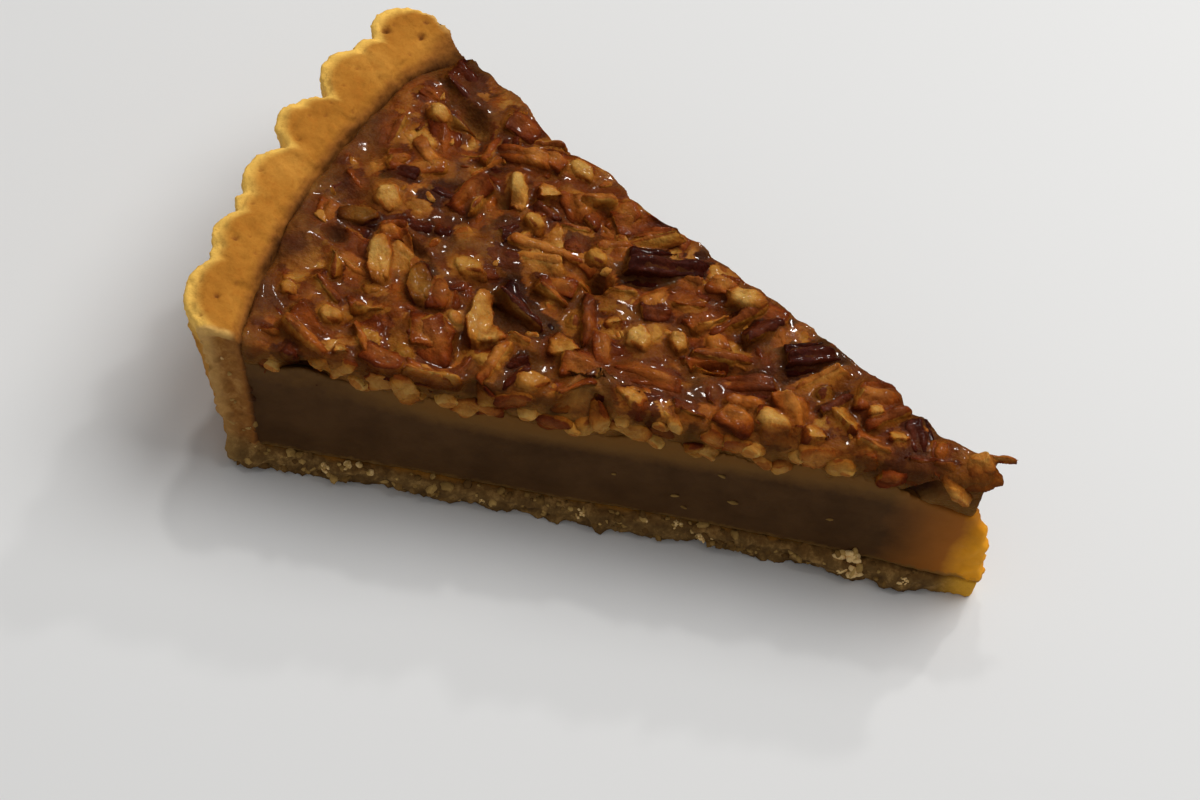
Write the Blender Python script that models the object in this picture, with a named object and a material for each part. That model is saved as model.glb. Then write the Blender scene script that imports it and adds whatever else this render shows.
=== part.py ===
# A slice of pecan tart: a tenth of a tart baked in a fluted 28 cm tin.
# The slice lies flat with its point toward +X and its fluted rim toward -X, and +Z is up.
# It is modelled about the tart's own axis, where the point lies, and then moved so that
# the middle of its box in plan, at the level of its underside, is the origin.
import math
import random

import bmesh
import bpy
from mathutils import Vector, noise

MM = 0.001
GAP = 0.3 * MM

# The cut: two straight cuts that meet at the tart's axis
HALF_ANGLE = math.radians(18.0)

# The pastry shell: a flat base and a wall that flares outward
FOOT_RADIUS = 130.0 * MM
WALL_AT_FOOT = 5.4 * MM
RIM_RADIUS = 137.0 * MM
RIM_INNER_RADIUS = 129.6 * MM
RIM_HEIGHT = 35.6 * MM
RIM_INWARD_FALL = 1.8 * MM
RIM_SHOULDER_DROP = 1.5 * MM
RIM_SHOULDER_START = 0.72
RIM_LUMP = 0.5 * MM
RIM_LUMP_SIZE = 7.0 * MM
BASE_THICKNESS = 4.8 * MM
BASE_TIP = 4.0 * MM

# The uneven lobes that the fluted tin gives the wall: middle and half width in degrees
# from the middle of the slice, and how far each stands out at the rim in millimetres
LOBES = [
    (-14.3, 3.3, 3.9),
    (-11.0, 1.5, 2.3),
    (-8.9, 2.5, 3.3),
    (-5.9, 1.2, 2.4),
    (-2.8, 2.8, 3.7),
    (2.8, 2.5, 5.1),
    (4.6, 1.4, 4.0),
    (9.0, 2.9, 5.6),
    (11.9, 1.6, 3.9),
    (15.3, 2.8, 6.0),
]
LOBE_ROUNDNESS = 2.2
LOBE_SHARE_AT_FOOT = 0.35

# The lump of pastry where the rim meets the far cut
FAR_CORNER_START = 0.72
FAR_CORNER_FALL = 3.2 * MM
FAR_CORNER_WIDENING = 2.6 * MM

# Crags on the cut faces and the outside, smoother near the point
CRAG_DEPTH = 0.9 * MM
CRAG_SIZE = 4.0 * MM
FADE_NEAR_TIP = 12.0 * MM

# The soft point, pressed past the straight cuts: the base, and the filling at its
# bottom, its belly and its top
BASE_TIP_PUSH = 6.2 * MM
BOTTOM_TIP_PUSH = 6.6 * MM
BELLY_TIP_PUSH = 5.3 * MM
TOP_TIP_PUSH = 1.6 * MM
TIP_PUSH_REACH = 40.0 * MM

# The filling's top, a long wave from the rim to the point with a ripple on it
FILLING_TOP = 23.0 * MM
FILLING_WAVE = 1.2 * MM
FILLING_WAVE_CREST = 0.93
FILLING_RIPPLE = 0.5 * MM
FILLING_RIPPLE_SIZE = 14.0 * MM
FILLING_SIDE_SWELL = 0.35 * MM
FILLING_SIDE_SIZE = 9.0 * MM

# The nut layer: a glazed bed with chopped pecans set in it
BED_TOP = 30.6 * MM
BED_BESIDE_RIM = 28.2 * MM
BED_BUMP = 1.4 * MM
BED_BUMP_SIZE = 9.0 * MM
RIM_GUTTER = 5.0 * MM
NUT_TOP = 34.3 * MM
NUT_TOP_NEAR_RIM = 33.1 * MM
NEAR_RIM = 9.0 * MM
NUT_OVERHANG = 1.6 * MM
NUT_BLOCKINESS = 0.7
NUT_GROOVE_DEPTH = 0.16
NUT_GROOVE_WIDTH = 0.25
KNIFE_CUT = 0.62
UNCUT = 1.0

# The nuts at the point lie past the far cut
TIP_DRIFT = 5.6 * MM
TIP_DRIFT_REACH = 22.0 * MM

# Nuts spread by rule: smaller ones in the room left, and a row along each cut
SMALL_NUTS = 44
SMALL_NUT_SPACING = 5.0 * MM
CUT_FACE_NUTS = 13
CUT_FACE_NUT_TOP = 30.0 * MM

# The largest pecans, set where the slice has them, in millimetres from the tart's axis:
# distance toward the point, distance toward the far cut, length, width and turn in degrees
SKIN_NUTS = [
    (-68.0, 13.5, 20.0, 6.5, 30.0),
    (-38.5, 7.5, 12.0, 6.5, 45.0),
    (-16.3, 3.2, 9.0, 6.4, 118.0),
    (-86.5, -7.5, 17.0, 9.5, -8.0),
    (-115.5, 32.0, 14.5, 8.0, -27.0),
    (-111.0, -1.0, 12.5, 7.5, 22.0),
    (-81.0, -24.0, 9.0, 6.0, 65.0),
    (-124.3, 16.5, 11.0, 6.6, 86.0),
    (-112.5, 16.2, 13.5, 7.0, -62.0),
    (-99.5, 21.8, 11.0, 7.5, 8.0),
    (-86.0, 21.0, 10.5, 8.6, -50.0),
    (-60.5, -10.5, 14.0, 7.2, 12.0),
    (-57.0, 5.5, 10.5, 5.6, 52.0),
    (-34.5, -6.6, 12.5, 6.4, -45.0),
    (-26.8, 5.4, 9.0, 6.2, 22.0),
    (-75.0, -5.5, 11.5, 4.8, -68.0),
    (-113.0, -33.2, 12.5, 9.0, -20.0),
    (-104.8, -27.6, 10.0, 7.2, -50.0),
    (-123.6, -6.5, 8.5, 5.6, -78.0),
    (-45.5, -3.6, 12.5, 7.0, 20.0),
    (-5.2, 2.0, 10.0, 7.4, 20.0),
    (-2.4, 4.8, 9.4, 2.8, 14.0),
]
CUT_NUTS = [
    (-117.0, 1.6, 8.5, 6.2, -35.0),
    (-111.3, -12.2, 11.5, 5.6, -50.0),
    (-97.2, 12.6, 9.0, 6.0, -40.0),
    (-91.5, 24.2, 8.5, 5.4, 0.0),
    (-77.8, 18.0, 8.5, 7.0, 40.0),
    (-88.0, 1.6, 10.5, 4.4, 12.0),
    (-98.2, -5.8, 8.0, 6.0, 20.0),
    (-91.0, -15.4, 14.0, 6.6, -57.0),
    (-96.0, -23.2, 11.0, 8.0, -40.0),
    (-77.0, -25.0, 8.5, 5.6, 50.0),
    (-71.8, -15.0, 10.0, 8.0, 10.0),
    (-66.3, -4.4, 8.0, 6.8, -20.0),
    (-54.0, 12.4, 9.0, 5.4, 60.0),
    (-35.4, 3.2, 13.0, 4.6, 57.0),
    (-28.6, -2.6, 7.5, 5.8, -60.0),
    (-38.4, -12.0, 9.0, 5.8, 15.0),
    (-61.0, -17.8, 6.5, 5.4, -60.0),
    (-104.8, 8.6, 10.5, 5.4, 80.0),
    (-103.2, -14.0, 10.5, 5.8, -45.0),
    (-100.4, -34.4, 9.0, 5.6, -8.0),
]
HEAP_SEED = 5


def clear_scene():
    for item in list(bpy.data.objects):
        bpy.data.objects.remove(item, do_unlink=True)


def collection(name):
    made = bpy.data.collections.new(name)
    bpy.context.scene.collection.children.link(made)
    return made


def material(name, colour, roughness, coat=0.0):
    made = bpy.data.materials.new(name)
    made.use_nodes = True
    shader = made.node_tree.nodes["Principled BSDF"]
    shader.inputs["Base Color"].default_value = (*colour, 1.0)
    shader.inputs["Roughness"].default_value = roughness
    shader.inputs["Metallic"].default_value = 0.0
    shader.inputs["Coat Weight"].default_value = coat
    made.diffuse_color = (*colour, 1.0)
    return made


def mix(start, end, share):
    return start + (end - start) * share


def smooth(share):
    share = min(max(share, 0.0), 1.0)
    return share * share * (3.0 - 2.0 * share)


def grain(point, size, layer=0.0):
    return noise.noise(Vector(point) / size + Vector((0.0, 0.0, layer)))


def polar(radius, angle, height):
    return Vector((-radius * math.cos(angle), radius * math.sin(angle), height))


def mesh_object(bm, name, home, finish):
    bmesh.ops.recalc_face_normals(bm, faces=bm.faces)
    mesh = bpy.data.meshes.new(name)
    bm.to_mesh(mesh)
    bm.free()
    mesh.materials.append(finish)
    made = bpy.data.objects.new(name, mesh)
    home.objects.link(made)
    return made


def layered_block(radii, angles, levels):
    # A block in steps of radius (x), angle (y) and level (z), grown from a flat grid
    bm = bmesh.new()
    bmesh.ops.create_grid(bm, x_segments=len(radii) - 1, y_segments=len(angles) - 1, size=0.5)
    for vert in bm.verts:
        column = round((vert.co.x + 0.5) * (len(radii) - 1))
        row = round((vert.co.y + 0.5) * (len(angles) - 1))
        vert.co = Vector((radii[column], angles[row], levels[0]))
    top = list(bm.faces)
    for level in levels[1:]:
        top = raise_faces(bm, top, level)
    return bm, top


def raise_faces(bm, faces, level):
    edges = {edge for face in faces for edge in face.edges}
    verts = {vert for face in faces for vert in face.verts}
    grown = bmesh.ops.extrude_face_region(bm, geom=[*faces, *edges, *verts])["geom"]
    for item in grown:
        if isinstance(item, bmesh.types.BMVert):
            item.co.z = level
    return [item for item in grown if isinstance(item, bmesh.types.BMFace)]


def steps(start, end, count):
    return [mix(start, end, index / count) for index in range(count + 1)]


# The pastry shell

def lobe_reach(angle):
    # How far the rim's lobes stand out at that angle, 0 in a notch between two of them
    turn = math.degrees(angle)
    reach = 0.0
    for middle, half_width, crown in LOBES:
        away = min(abs(turn - middle) / half_width, 1.0)
        reach = max(reach, crown * MM * (1.0 - away ** LOBE_ROUNDNESS))
    return reach


def far_corner(angle):
    # 1 at the far cut and 0 where its thicker pastry starts
    return smooth((angle / HALF_ANGLE - FAR_CORNER_START) / (1.0 - FAR_CORNER_START))


def wall_inner_radius(share, angle):
    # The inner face of the wall, from the foot (0) to the rim (1)
    foot = FOOT_RADIUS - WALL_AT_FOOT
    top = RIM_INNER_RADIUS - FAR_CORNER_WIDENING * far_corner(angle)
    return mix(foot, top, share ** 1.5)


def wall_outer_radius(share, angle):
    return mix(FOOT_RADIUS, RIM_RADIUS, share) + mix(LOBE_SHARE_AT_FOOT, 1.0, share) * lobe_reach(angle)


def rim_height(across, angle):
    fall = (RIM_INWARD_FALL + FAR_CORNER_FALL * far_corner(angle)) * (1.0 - across) ** 1.6
    shoulder = max(across - RIM_SHOULDER_START, 0.0) / (1.0 - RIM_SHOULDER_START)
    place = polar(RIM_RADIUS, angle, across * RIM_LUMP_SIZE)
    return RIM_HEIGHT - fall - RIM_SHOULDER_DROP * shoulder + RIM_LUMP * grain(place, RIM_LUMP_SIZE)


def tip_fade(radius):
    # 1 at the point of the slice and 0 from TIP_PUSH_REACH on
    return 1.0 - smooth((radius - BASE_TIP) / TIP_PUSH_REACH)


def crust_point(radius, angle, level):
    inner_foot = FOOT_RADIUS - WALL_AT_FOOT
    if radius < inner_foot - 0.01 * MM:
        flat = polar(radius, angle, level)
        flat.x += BASE_TIP_PUSH * tip_fade(radius)
        return flat
    across = (radius - inner_foot) / WALL_AT_FOOT
    share = level / RIM_HEIGHT
    wall_radius = mix(wall_inner_radius(share, angle), wall_outer_radius(share, angle), across)
    height = level
    if level > BASE_THICKNESS:
        rise = (level - BASE_THICKNESS) / (RIM_HEIGHT - BASE_THICKNESS)
        height = mix(BASE_THICKNESS, rim_height(across, angle), rise)
    return polar(wall_radius, angle, height)


def at_cut(angle):
    return abs(abs(angle) - HALF_ANGLE) < 0.001


def add_crags(bm):
    # Crags on the cut faces, outer wall and rim; the underside and the inside stay smooth
    for vert in bm.verts:
        radius = math.hypot(vert.co.x, vert.co.y)
        on_cut = at_cut(math.atan2(vert.co.y, -vert.co.x))
        on_outside = radius > FOOT_RADIUS + 0.5 * MM and not on_cut
        if vert.co.z < 0.5 * MM or not (on_cut or on_outside):
            continue
        push = CRAG_DEPTH * grain(vert.co, CRAG_SIZE) * smooth((radius - BASE_TIP) / FADE_NEAR_TIP)
        if on_cut:
            vert.co.y += push if vert.co.y > 0.0 else -push
        else:
            vert.co += Vector((vert.co.x, vert.co.y, 0.0)).normalized() * push


def flatten_into_one(bm, height):
    # Joins the level faces at one height, which need no inner edges
    level_edges = []
    for edge in bm.edges:
        if len(edge.link_faces) != 2:
            continue
        if all(abs(face.normal.z) > 0.9999 for face in edge.link_faces):
            if all(abs(vert.co.z - height) < 0.01 * MM for vert in edge.verts):
                level_edges.append(edge)
    bmesh.ops.dissolve_edges(bm, edges=level_edges, use_verts=True, use_face_split=False)


def make_crust(home):
    inner_foot = FOOT_RADIUS - WALL_AT_FOOT
    radii = steps(BASE_TIP, inner_foot, 30) + steps(inner_foot, FOOT_RADIUS, 5)[1:]
    angles = steps(-HALF_ANGLE, HALF_ANGLE, 72)
    bm, top = layered_block(radii, angles, [0.0, BASE_THICKNESS * 0.5, BASE_THICKNESS])
    wall = [face for face in top if face.calc_center_median().x > inner_foot]
    for level in steps(BASE_THICKNESS, RIM_HEIGHT, 8)[1:]:
        wall = raise_faces(bm, wall, level)
    for vert in bm.verts:
        vert.co = crust_point(*vert.co)
    add_crags(bm)
    bm.normal_update()
    flatten_into_one(bm, 0.0)
    flatten_into_one(bm, BASE_THICKNESS)
    bmesh.ops.triangulate(bm, faces=bm.faces)
    finish = material("baked_pastry", (0.52, 0.27, 0.075), 0.8)
    return mesh_object(bm, "crust", home, finish)


# The filling

def filling_top(radius, angle):
    along = 1.0 - radius / RIM_INNER_RADIUS
    swell = FILLING_WAVE * math.cos(2.0 * math.pi * (along - FILLING_WAVE_CREST))
    ripple = FILLING_RIPPLE * grain(polar(radius, angle, 0.0), FILLING_RIPPLE_SIZE, 2.0)
    return FILLING_TOP + swell + ripple


def filling_push(share):
    # How far the soft point stands toward +X, from its bottom (0) over its belly to its top (1)
    if share < 0.5:
        return mix(BOTTOM_TIP_PUSH, BELLY_TIP_PUSH, share * 2.0)
    return mix(BELLY_TIP_PUSH, TOP_TIP_PUSH, (share - 0.5) * 2.0)


def filling_point(radius, angle, share):
    bottom = BASE_THICKNESS + GAP
    height = mix(bottom, filling_top(radius, angle), share)
    nominal = FOOT_RADIUS - WALL_AT_FOOT
    wall = wall_inner_radius(height / RIM_HEIGHT, angle) - GAP
    moved = mix(BASE_TIP, wall, (radius - BASE_TIP) / (nominal - BASE_TIP))
    point = polar(moved, angle, height)
    point.x += filling_push(share) * tip_fade(moved)
    if at_cut(angle):
        swell = FILLING_SIDE_SWELL * grain(point, FILLING_SIDE_SIZE, 5.0)
        point.y += math.copysign(1.0, angle) * swell * smooth(radius / FADE_NEAR_TIP)
    return point


def make_filling(home, radii, angles):
    bm, top = layered_block(radii, angles, steps(0.0, 1.0, 4))
    for vert in bm.verts:
        vert.co = filling_point(*vert.co)
    bm.normal_update()
    flatten_into_one(bm, BASE_THICKNESS + GAP)
    bmesh.ops.triangulate(bm, faces=bm.faces, quad_method="SHORT_EDGE")
    finish = material("brown_filling", (0.045, 0.02, 0.008), 0.45)
    return mesh_object(bm, "filling", home, finish)


# The nut layer

def bed_height(point, radius, angle):
    wall = wall_inner_radius(0.85, angle)
    beside = smooth((radius - (wall - RIM_GUTTER)) / RIM_GUTTER)
    return mix(BED_TOP, BED_BESIDE_RIM, beside) + BED_BUMP * grain(point, BED_BUMP_SIZE, 8.0)


def bed_point(radius, angle, share):
    low = filling_point(radius, angle, 1.0)
    low.z += GAP
    moved = math.hypot(low.x, low.y)
    height = mix(low.z, bed_height(low, radius, angle), share)
    flare = wall_inner_radius(height / RIM_HEIGHT, angle) - wall_inner_radius(low.z / RIM_HEIGHT, angle)
    at_rim = smooth((radius / (FOOT_RADIUS - WALL_AT_FOOT) - 0.8) / 0.2)
    point = polar(moved + flare * at_rim, math.atan2(low.y, -low.x), height)
    side = math.copysign((angle / HALF_ANGLE) ** 2, angle)
    inward = (0.6 + 1.2 * abs(grain(point, 8.0 * MM, 3.0))) * MM * share
    point.y -= side * inward * smooth(radius / FADE_NEAR_TIP)
    return point


def nut_mesh(length, width, height, flatness, draw):
    # A chopped pecan: a rounded block with a long groove, roughened, with a knife-cut top
    bm = bmesh.new()
    bmesh.ops.create_icosphere(bm, subdivisions=1, radius=1.0)
    for vert in bm.verts:
        for axis in range(3):
            value = vert.co[axis]
            vert.co[axis] = math.copysign(abs(value) ** NUT_BLOCKINESS, value)
        vert.co *= 1.0 + draw.uniform(-0.1, 0.12)
        groove = 1.0 - NUT_GROOVE_DEPTH * math.exp(-(vert.co.y / NUT_GROOVE_WIDTH) ** 2)
        vert.co.z = min(vert.co.z * groove, flatness)
        vert.co.x *= length / 2.0
        vert.co.y *= width / 2.0
        vert.co.z *= height / 2.0
    return bm


def into_slice(point, overhang):
    # Moves a point of a nut clear of the filling and the wall, and trims it at the cuts
    radius = math.hypot(point.x, point.y)
    angle = math.atan2(point.y, -point.x)
    floor = filling_top(min(radius, RIM_INNER_RADIUS), angle) + 3.0 * GAP + 0.3 * overhang
    point.z = max(point.z, floor)
    wall = wall_inner_radius(point.z / RIM_HEIGHT, angle) - 3.0 * GAP
    if radius > wall:
        point.x *= wall / radius
        point.y *= wall / radius
    reach = max(-point.x, 0.0) * math.tan(HALF_ANGLE) + overhang * (1.0 + 0.3 * grain(point, 2.5 * MM, 7.0))
    drift = TIP_DRIFT * smooth(1.0 + point.x / TIP_DRIFT_REACH)
    point.y = min(max(point.y, -reach), reach + drift)
    return point


def add_nut(home, finish, spot, length, width, turn, flatness, draw):
    # spot is the middle of the nut in plan and the height of its top
    height = min(width, length) * draw.uniform(0.85, 1.05)
    tilt = math.radians(draw.uniform(-12.0, 12.0))
    overhang = NUT_OVERHANG * draw.uniform(0.4, 1.0)
    bm = nut_mesh(length, width, height, flatness, draw)
    forward = Vector((math.cos(turn), math.sin(turn), 0.0))
    sideways = Vector((-forward.y, forward.x, 0.0))
    middle = spot - Vector((0.0, 0.0, height * 0.5))
    for vert in bm.verts:
        x, y, z = vert.co
        lift = Vector((0.0, 0.0, z + x * math.sin(tilt)))
        vert.co = into_slice(middle + forward * x + sideways * y + lift, overhang)
    return mesh_object(bm, "nut", home, finish)


def nut_top(place, draw):
    top = NUT_TOP if place.length < RIM_INNER_RADIUS - NEAR_RIM else NUT_TOP_NEAR_RIM
    return place.to_3d() + Vector((0.0, 0.0, top + draw.uniform(-1.2, 0.4) * MM))


def small_nut_places(taken, draw):
    # Evenly spread places that keep a distance from the nuts already there
    places = []
    while len(places) < SMALL_NUTS:
        spacing = SMALL_NUT_SPACING
        for attempt in range(400):
            radius = RIM_INNER_RADIUS * math.sqrt(draw.uniform(0.01, 0.9))
            angle = draw.uniform(-HALF_ANGLE, HALF_ANGLE)
            spot = polar(radius, angle, 0.0).to_2d()
            if all((spot - other).length > room + spacing * 0.5 for other, room in taken):
                break
            spacing *= 0.995
        taken.append((spot, 2.6 * MM))
        places.append(spot)
    return places


def cut_face_places(draw):
    # Nuts that the knife met, low in the layer along both cuts
    for side in (-1.0, 1.0):
        for index in range(CUT_FACE_NUTS):
            radius = mix(16.0 * MM, 122.0 * MM, (index + draw.uniform(0.2, 0.8)) / CUT_FACE_NUTS)
            spot = polar(radius, side * HALF_ANGLE, CUT_FACE_NUT_TOP + draw.uniform(-1.4, 1.4) * MM)
            spot.y -= side * draw.uniform(0.4, 1.6) * MM
            yield spot, -side * HALF_ANGLE + draw.uniform(-0.3, 0.3)


def make_nut_layer(home, radii, angles):
    finish = material("glazed_pecans", (0.24, 0.085, 0.022), 0.35, 0.6)
    bm, top = layered_block(radii, angles, steps(0.0, 1.0, 3))
    for vert in bm.verts:
        vert.co = bed_point(*vert.co)
    bmesh.ops.triangulate(bm, faces=bm.faces, quad_method="SHORT_EDGE")
    bed = mesh_object(bm, "pecan_topping", home, finish)

    heap = collection("nuts_to_fuse")
    draw = random.Random(HEAP_SEED)
    taken = []
    for rows, flatness in ((SKIN_NUTS, UNCUT), (CUT_NUTS, KNIFE_CUT)):
        for x, y, length, width, turn in rows:
            place = Vector((x, y)) * MM
            turn = math.radians(turn)
            add_nut(heap, finish, nut_top(place, draw), length * MM, width * MM, turn, flatness, draw)
            reach = Vector((math.cos(turn), math.sin(turn))) * length * MM * 0.25
            taken += [(place + reach, width * MM * 0.45), (place - reach, width * MM * 0.45)]
    for place in small_nut_places(taken, draw):
        length = draw.uniform(5.5, 8.5) * MM
        width = length * draw.uniform(0.65, 0.9)
        turn = draw.uniform(0.0, math.pi)
        flatness = draw.choice((KNIFE_CUT, UNCUT))
        add_nut(heap, finish, nut_top(place, draw), length, width, turn, flatness, draw)
    for spot, turn in cut_face_places(draw):
        length = draw.uniform(6.5, 9.5) * MM
        width = draw.uniform(4.5, 6.0) * MM
        add_nut(heap, finish, spot, length, width, turn, UNCUT, draw)

    union = bed.modifiers.new("nuts", "BOOLEAN")
    union.operation = "UNION"
    union.operand_type = "COLLECTION"
    union.collection = heap
    union.solver = "EXACT"
    bpy.context.view_layer.objects.active = bed
    bpy.ops.object.modifier_apply(modifier=union.name)
    for item in list(heap.objects):
        bpy.data.objects.remove(item, do_unlink=True)
    bpy.data.collections.remove(heap)
    keep_largest_body(bed.data)
    return bed


def keep_largest_body(mesh):
    # Drops the loose scraps and fills the hollows that the union leaves
    bm = bmesh.new()
    bm.from_mesh(mesh)
    bodies = []
    waiting = set(bm.faces)
    while waiting:
        body = []
        front = [waiting.pop()]
        while front:
            face = front.pop()
            body.append(face)
            for edge in face.edges:
                for other in edge.link_faces:
                    if other in waiting:
                        waiting.remove(other)
                        front.append(other)
        bodies.append(body)
    bodies.sort(key=len)
    for body in bodies[:-1]:
        bmesh.ops.delete(bm, geom=body, context="FACES")
    bmesh.ops.triangulate(bm, faces=bm.faces)
    bm.to_mesh(mesh)
    bm.free()


def centre_on_underside(parts):
    # Puts the origin at the middle of the box in plan, at the level of the underside
    corners = [vert.co for part in parts for vert in part.data.vertices]
    middle = Vector((
        (min(corner.x for corner in corners) + max(corner.x for corner in corners)) / 2.0,
        (min(corner.y for corner in corners) + max(corner.y for corner in corners)) / 2.0,
        min(corner.z for corner in corners),
    ))
    for part in parts:
        for vert in part.data.vertices:
            vert.co -= middle


def main():
    clear_scene()
    home = collection("pecan_pie_slice")
    nominal = FOOT_RADIUS - WALL_AT_FOOT
    radii = steps(BASE_TIP, nominal, 26)
    angles = steps(-HALF_ANGLE, HALF_ANGLE, 9)
    crust = make_crust(home)
    filling = make_filling(home, radii, angles)
    topping = make_nut_layer(home, radii, angles)
    centre_on_underside([crust, filling, topping])
    for part in (crust, filling, topping):
        print(part.name, len(part.data.polygons), "faces")


main()
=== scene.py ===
import math
import random

import bpy
from mathutils import Matrix, Vector, noise
from mathutils.bvhtree import BVHTree


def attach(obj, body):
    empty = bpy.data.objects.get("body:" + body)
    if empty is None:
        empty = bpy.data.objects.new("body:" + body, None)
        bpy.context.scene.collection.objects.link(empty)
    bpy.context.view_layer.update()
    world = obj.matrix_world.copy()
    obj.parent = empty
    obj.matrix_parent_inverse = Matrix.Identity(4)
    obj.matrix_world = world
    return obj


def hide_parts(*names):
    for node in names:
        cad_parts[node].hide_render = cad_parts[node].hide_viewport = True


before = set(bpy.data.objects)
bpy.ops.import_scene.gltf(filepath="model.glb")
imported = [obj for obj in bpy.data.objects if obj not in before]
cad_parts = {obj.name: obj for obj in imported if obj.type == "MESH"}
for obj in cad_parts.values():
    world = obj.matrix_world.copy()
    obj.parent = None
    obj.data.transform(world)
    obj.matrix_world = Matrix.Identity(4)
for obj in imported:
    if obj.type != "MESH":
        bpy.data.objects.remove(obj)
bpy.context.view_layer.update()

mm = 0.001
scene = bpy.context.scene
scene.view_settings.view_transform = "Standard"

# The slice's own measures, from the tart's axis where the two cuts meet
tart = {
    "halfAngle": math.radians(18.0),
    "footRadius": 130.0 * mm, "wallAtFoot": 5.4 * mm, "wallCurve": 1.5,
    "rimRadius": 137.0 * mm, "rimInner": 129.6 * mm, "rimHeight": 35.6 * mm,
    "rimFall": 1.8 * mm, "rimFallCurve": 1.6, "innerRound": 1.6 * mm, "innerRoundEnd": 0.3,
    "shoulderDrop": 1.5 * mm, "shoulderStart": 0.72, "rimLump": 0.5 * mm, "rimLumpSize": 7.0 * mm,
    "baseThickness": 4.8 * mm, "baseTip": 4.0 * mm,
    "ledge": 1.3 * mm, "ledgeUneven": 1.4 * mm, "ledgeSize": 6.0 * mm, "ledgeFineSize": 2.2 * mm,
    "ledgeTop": 3.8 * mm, "ledgeFade": 1.8 * mm, "ledgeStart": 1.0 * mm, "ledgeGrowth": 8.0 * mm,
    "fluteRoundness": 2.2, "fluteAtFoot": 0.35,
    "cornerStart": 0.72, "cornerFall": 3.2 * mm, "cornerWiden": 2.6 * mm,
    "tipPush": 6.2 * mm, "bottomPush": 6.6 * mm, "bellyPush": 5.3 * mm, "topPush": 1.6 * mm,
    "pushReach": 40.0 * mm, "tipDrift": 5.6 * mm, "driftReach": 22.0 * mm,
    "fillingTop": 23.0 * mm, "wave": 1.2 * mm, "waveCrest": 0.93,
    "ripple": 0.5 * mm, "rippleSize": 14.0 * mm,
    "bedTop": 30.6 * mm, "bedAtRim": 28.2 * mm, "gutter": 5.0 * mm,
    "nutTop": 34.2 * mm, "nutTopAtRim": 33.1 * mm, "nearRim": 9.0 * mm,
    "farFall": 1.2 * mm, "farFallReach": 6.0 * mm,
}
halfAngle = tart["halfAngle"]
wallFoot = tart["footRadius"] - tart["wallAtFoot"]
tiny = 1e-7


def findAxis():
    # The base's point tells where the tart's axis stands in the frame
    verts = [v.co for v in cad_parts["crust"].data.vertices]
    farthest = max(v.x for v in verts)
    tips = [v.y for v in verts if v.x > farthest - 0.01 * mm]
    pointAhead = tart["tipPush"] - tart["baseTip"] * math.cos(halfAngle)
    return Vector((farthest - pointAhead, (min(tips) + max(tips)) / 2, 0.0))


axisSpot = findAxis()
print("tart axis at", [round(v / mm, 2) for v in axisSpot], "mm")


# Small helpers

def mix(start, end, share):
    return start + (end - start) * share


def smooth(share):
    share = min(max(share, 0.0), 1.0)
    return share * share * (3.0 - 2.0 * share)


def grain(point, size, layer=0.0):
    return noise.noise(Vector(point) / size + Vector((0.0, 0.0, layer)))


def polar(radius, angle, height):
    return Vector((-radius * math.cos(angle), radius * math.sin(angle), height))


def roundAxis(point):
    # Distance and angle round the tart's axis
    return math.hypot(point.x, point.y), math.atan2(point.y, -point.x)


def outward(side):
    # The way out of the near (-1) or far (1) cut
    return Vector((math.sin(halfAngle), side * math.cos(halfAngle), 0.0))


def outOfCut(point, side):
    # How far a point stands outside that cut
    return point.x * math.sin(halfAngle) + side * point.y * math.cos(halfAngle)


def outOfCuts(point):
    return max(outOfCut(point, -1), outOfCut(point, 1))


def steps(start, end, count):
    return [mix(start, end, index / count) for index in range(count + 1)]


def pick(*pieces):
    bpy.ops.object.select_all(action="DESELECT")
    for piece in pieces:
        piece.select_set(True)
    bpy.context.view_layer.objects.active = pieces[0]


def editing(piece, mode="FACE"):
    pick(piece)
    bpy.ops.object.mode_set(mode="EDIT")
    bpy.ops.mesh.select_mode(type=mode)


def doneEditing():
    bpy.ops.object.mode_set(mode="OBJECT")


def applyModifier(piece, kind, **values):
    pick(piece)
    added = piece.modifiers.new(kind.lower(), kind)
    for name, value in values.items():
        setattr(added, name, value)
    bpy.ops.object.modifier_apply(modifier=added.name)


def remesh(piece, voxel):
    applyModifier(piece, "REMESH", mode="VOXEL", voxel_size=voxel, adaptivity=0.0)


def roughen(piece, size, depth, group="", middle=0.5):
    # Pushes the surface in and out by a cloud pattern of that size
    clouds = bpy.data.textures.new("clouds", "CLOUDS")
    clouds.noise_scale = size
    clouds.noise_depth = 2
    applyModifier(piece, "DISPLACE", texture=clouds, texture_coords="GLOBAL", strength=depth,
                  mid_level=middle, direction="NORMAL", vertex_group=group)


def fixNormals(piece):
    editing(piece)
    bpy.ops.mesh.select_all(action="SELECT")
    bpy.ops.mesh.normals_make_consistent(inside=False)
    doneEditing()


def shade(piece, angle=None):
    pick(piece)
    if angle is None:
        bpy.ops.object.shade_smooth()
    else:
        bpy.ops.object.shade_smooth_by_angle(angle=math.radians(angle))


def setValues(piece, name, values):
    # A value at each point of the mesh, for the material
    if name not in piece.data.attributes:
        piece.data.attributes.new(name, "FLOAT", "POINT")
    piece.data.attributes[name].data.foreach_set("value", values)


def setEvenly(piece, name, value):
    setValues(piece, name, [value] * len(piece.data.vertices))


def setGroup(piece, name, weigh):
    group = piece.vertex_groups.new(name=name)
    for vert in piece.data.vertices:
        weight = weigh(vert.co)
        if weight > 0.0:
            group.add([vert.index], weight, "REPLACE")


def copyOf(source, place, name="copy"):
    made = bpy.data.objects.new(name, source.data.copy())
    scene.collection.objects.link(made)
    made.matrix_world = place
    return made


def tumbled(draw):
    return Matrix.Rotation(draw.uniform(0, 6.28), 4, "X") @ Matrix.Rotation(draw.uniform(0, 6.28), 4, "Z")


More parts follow.
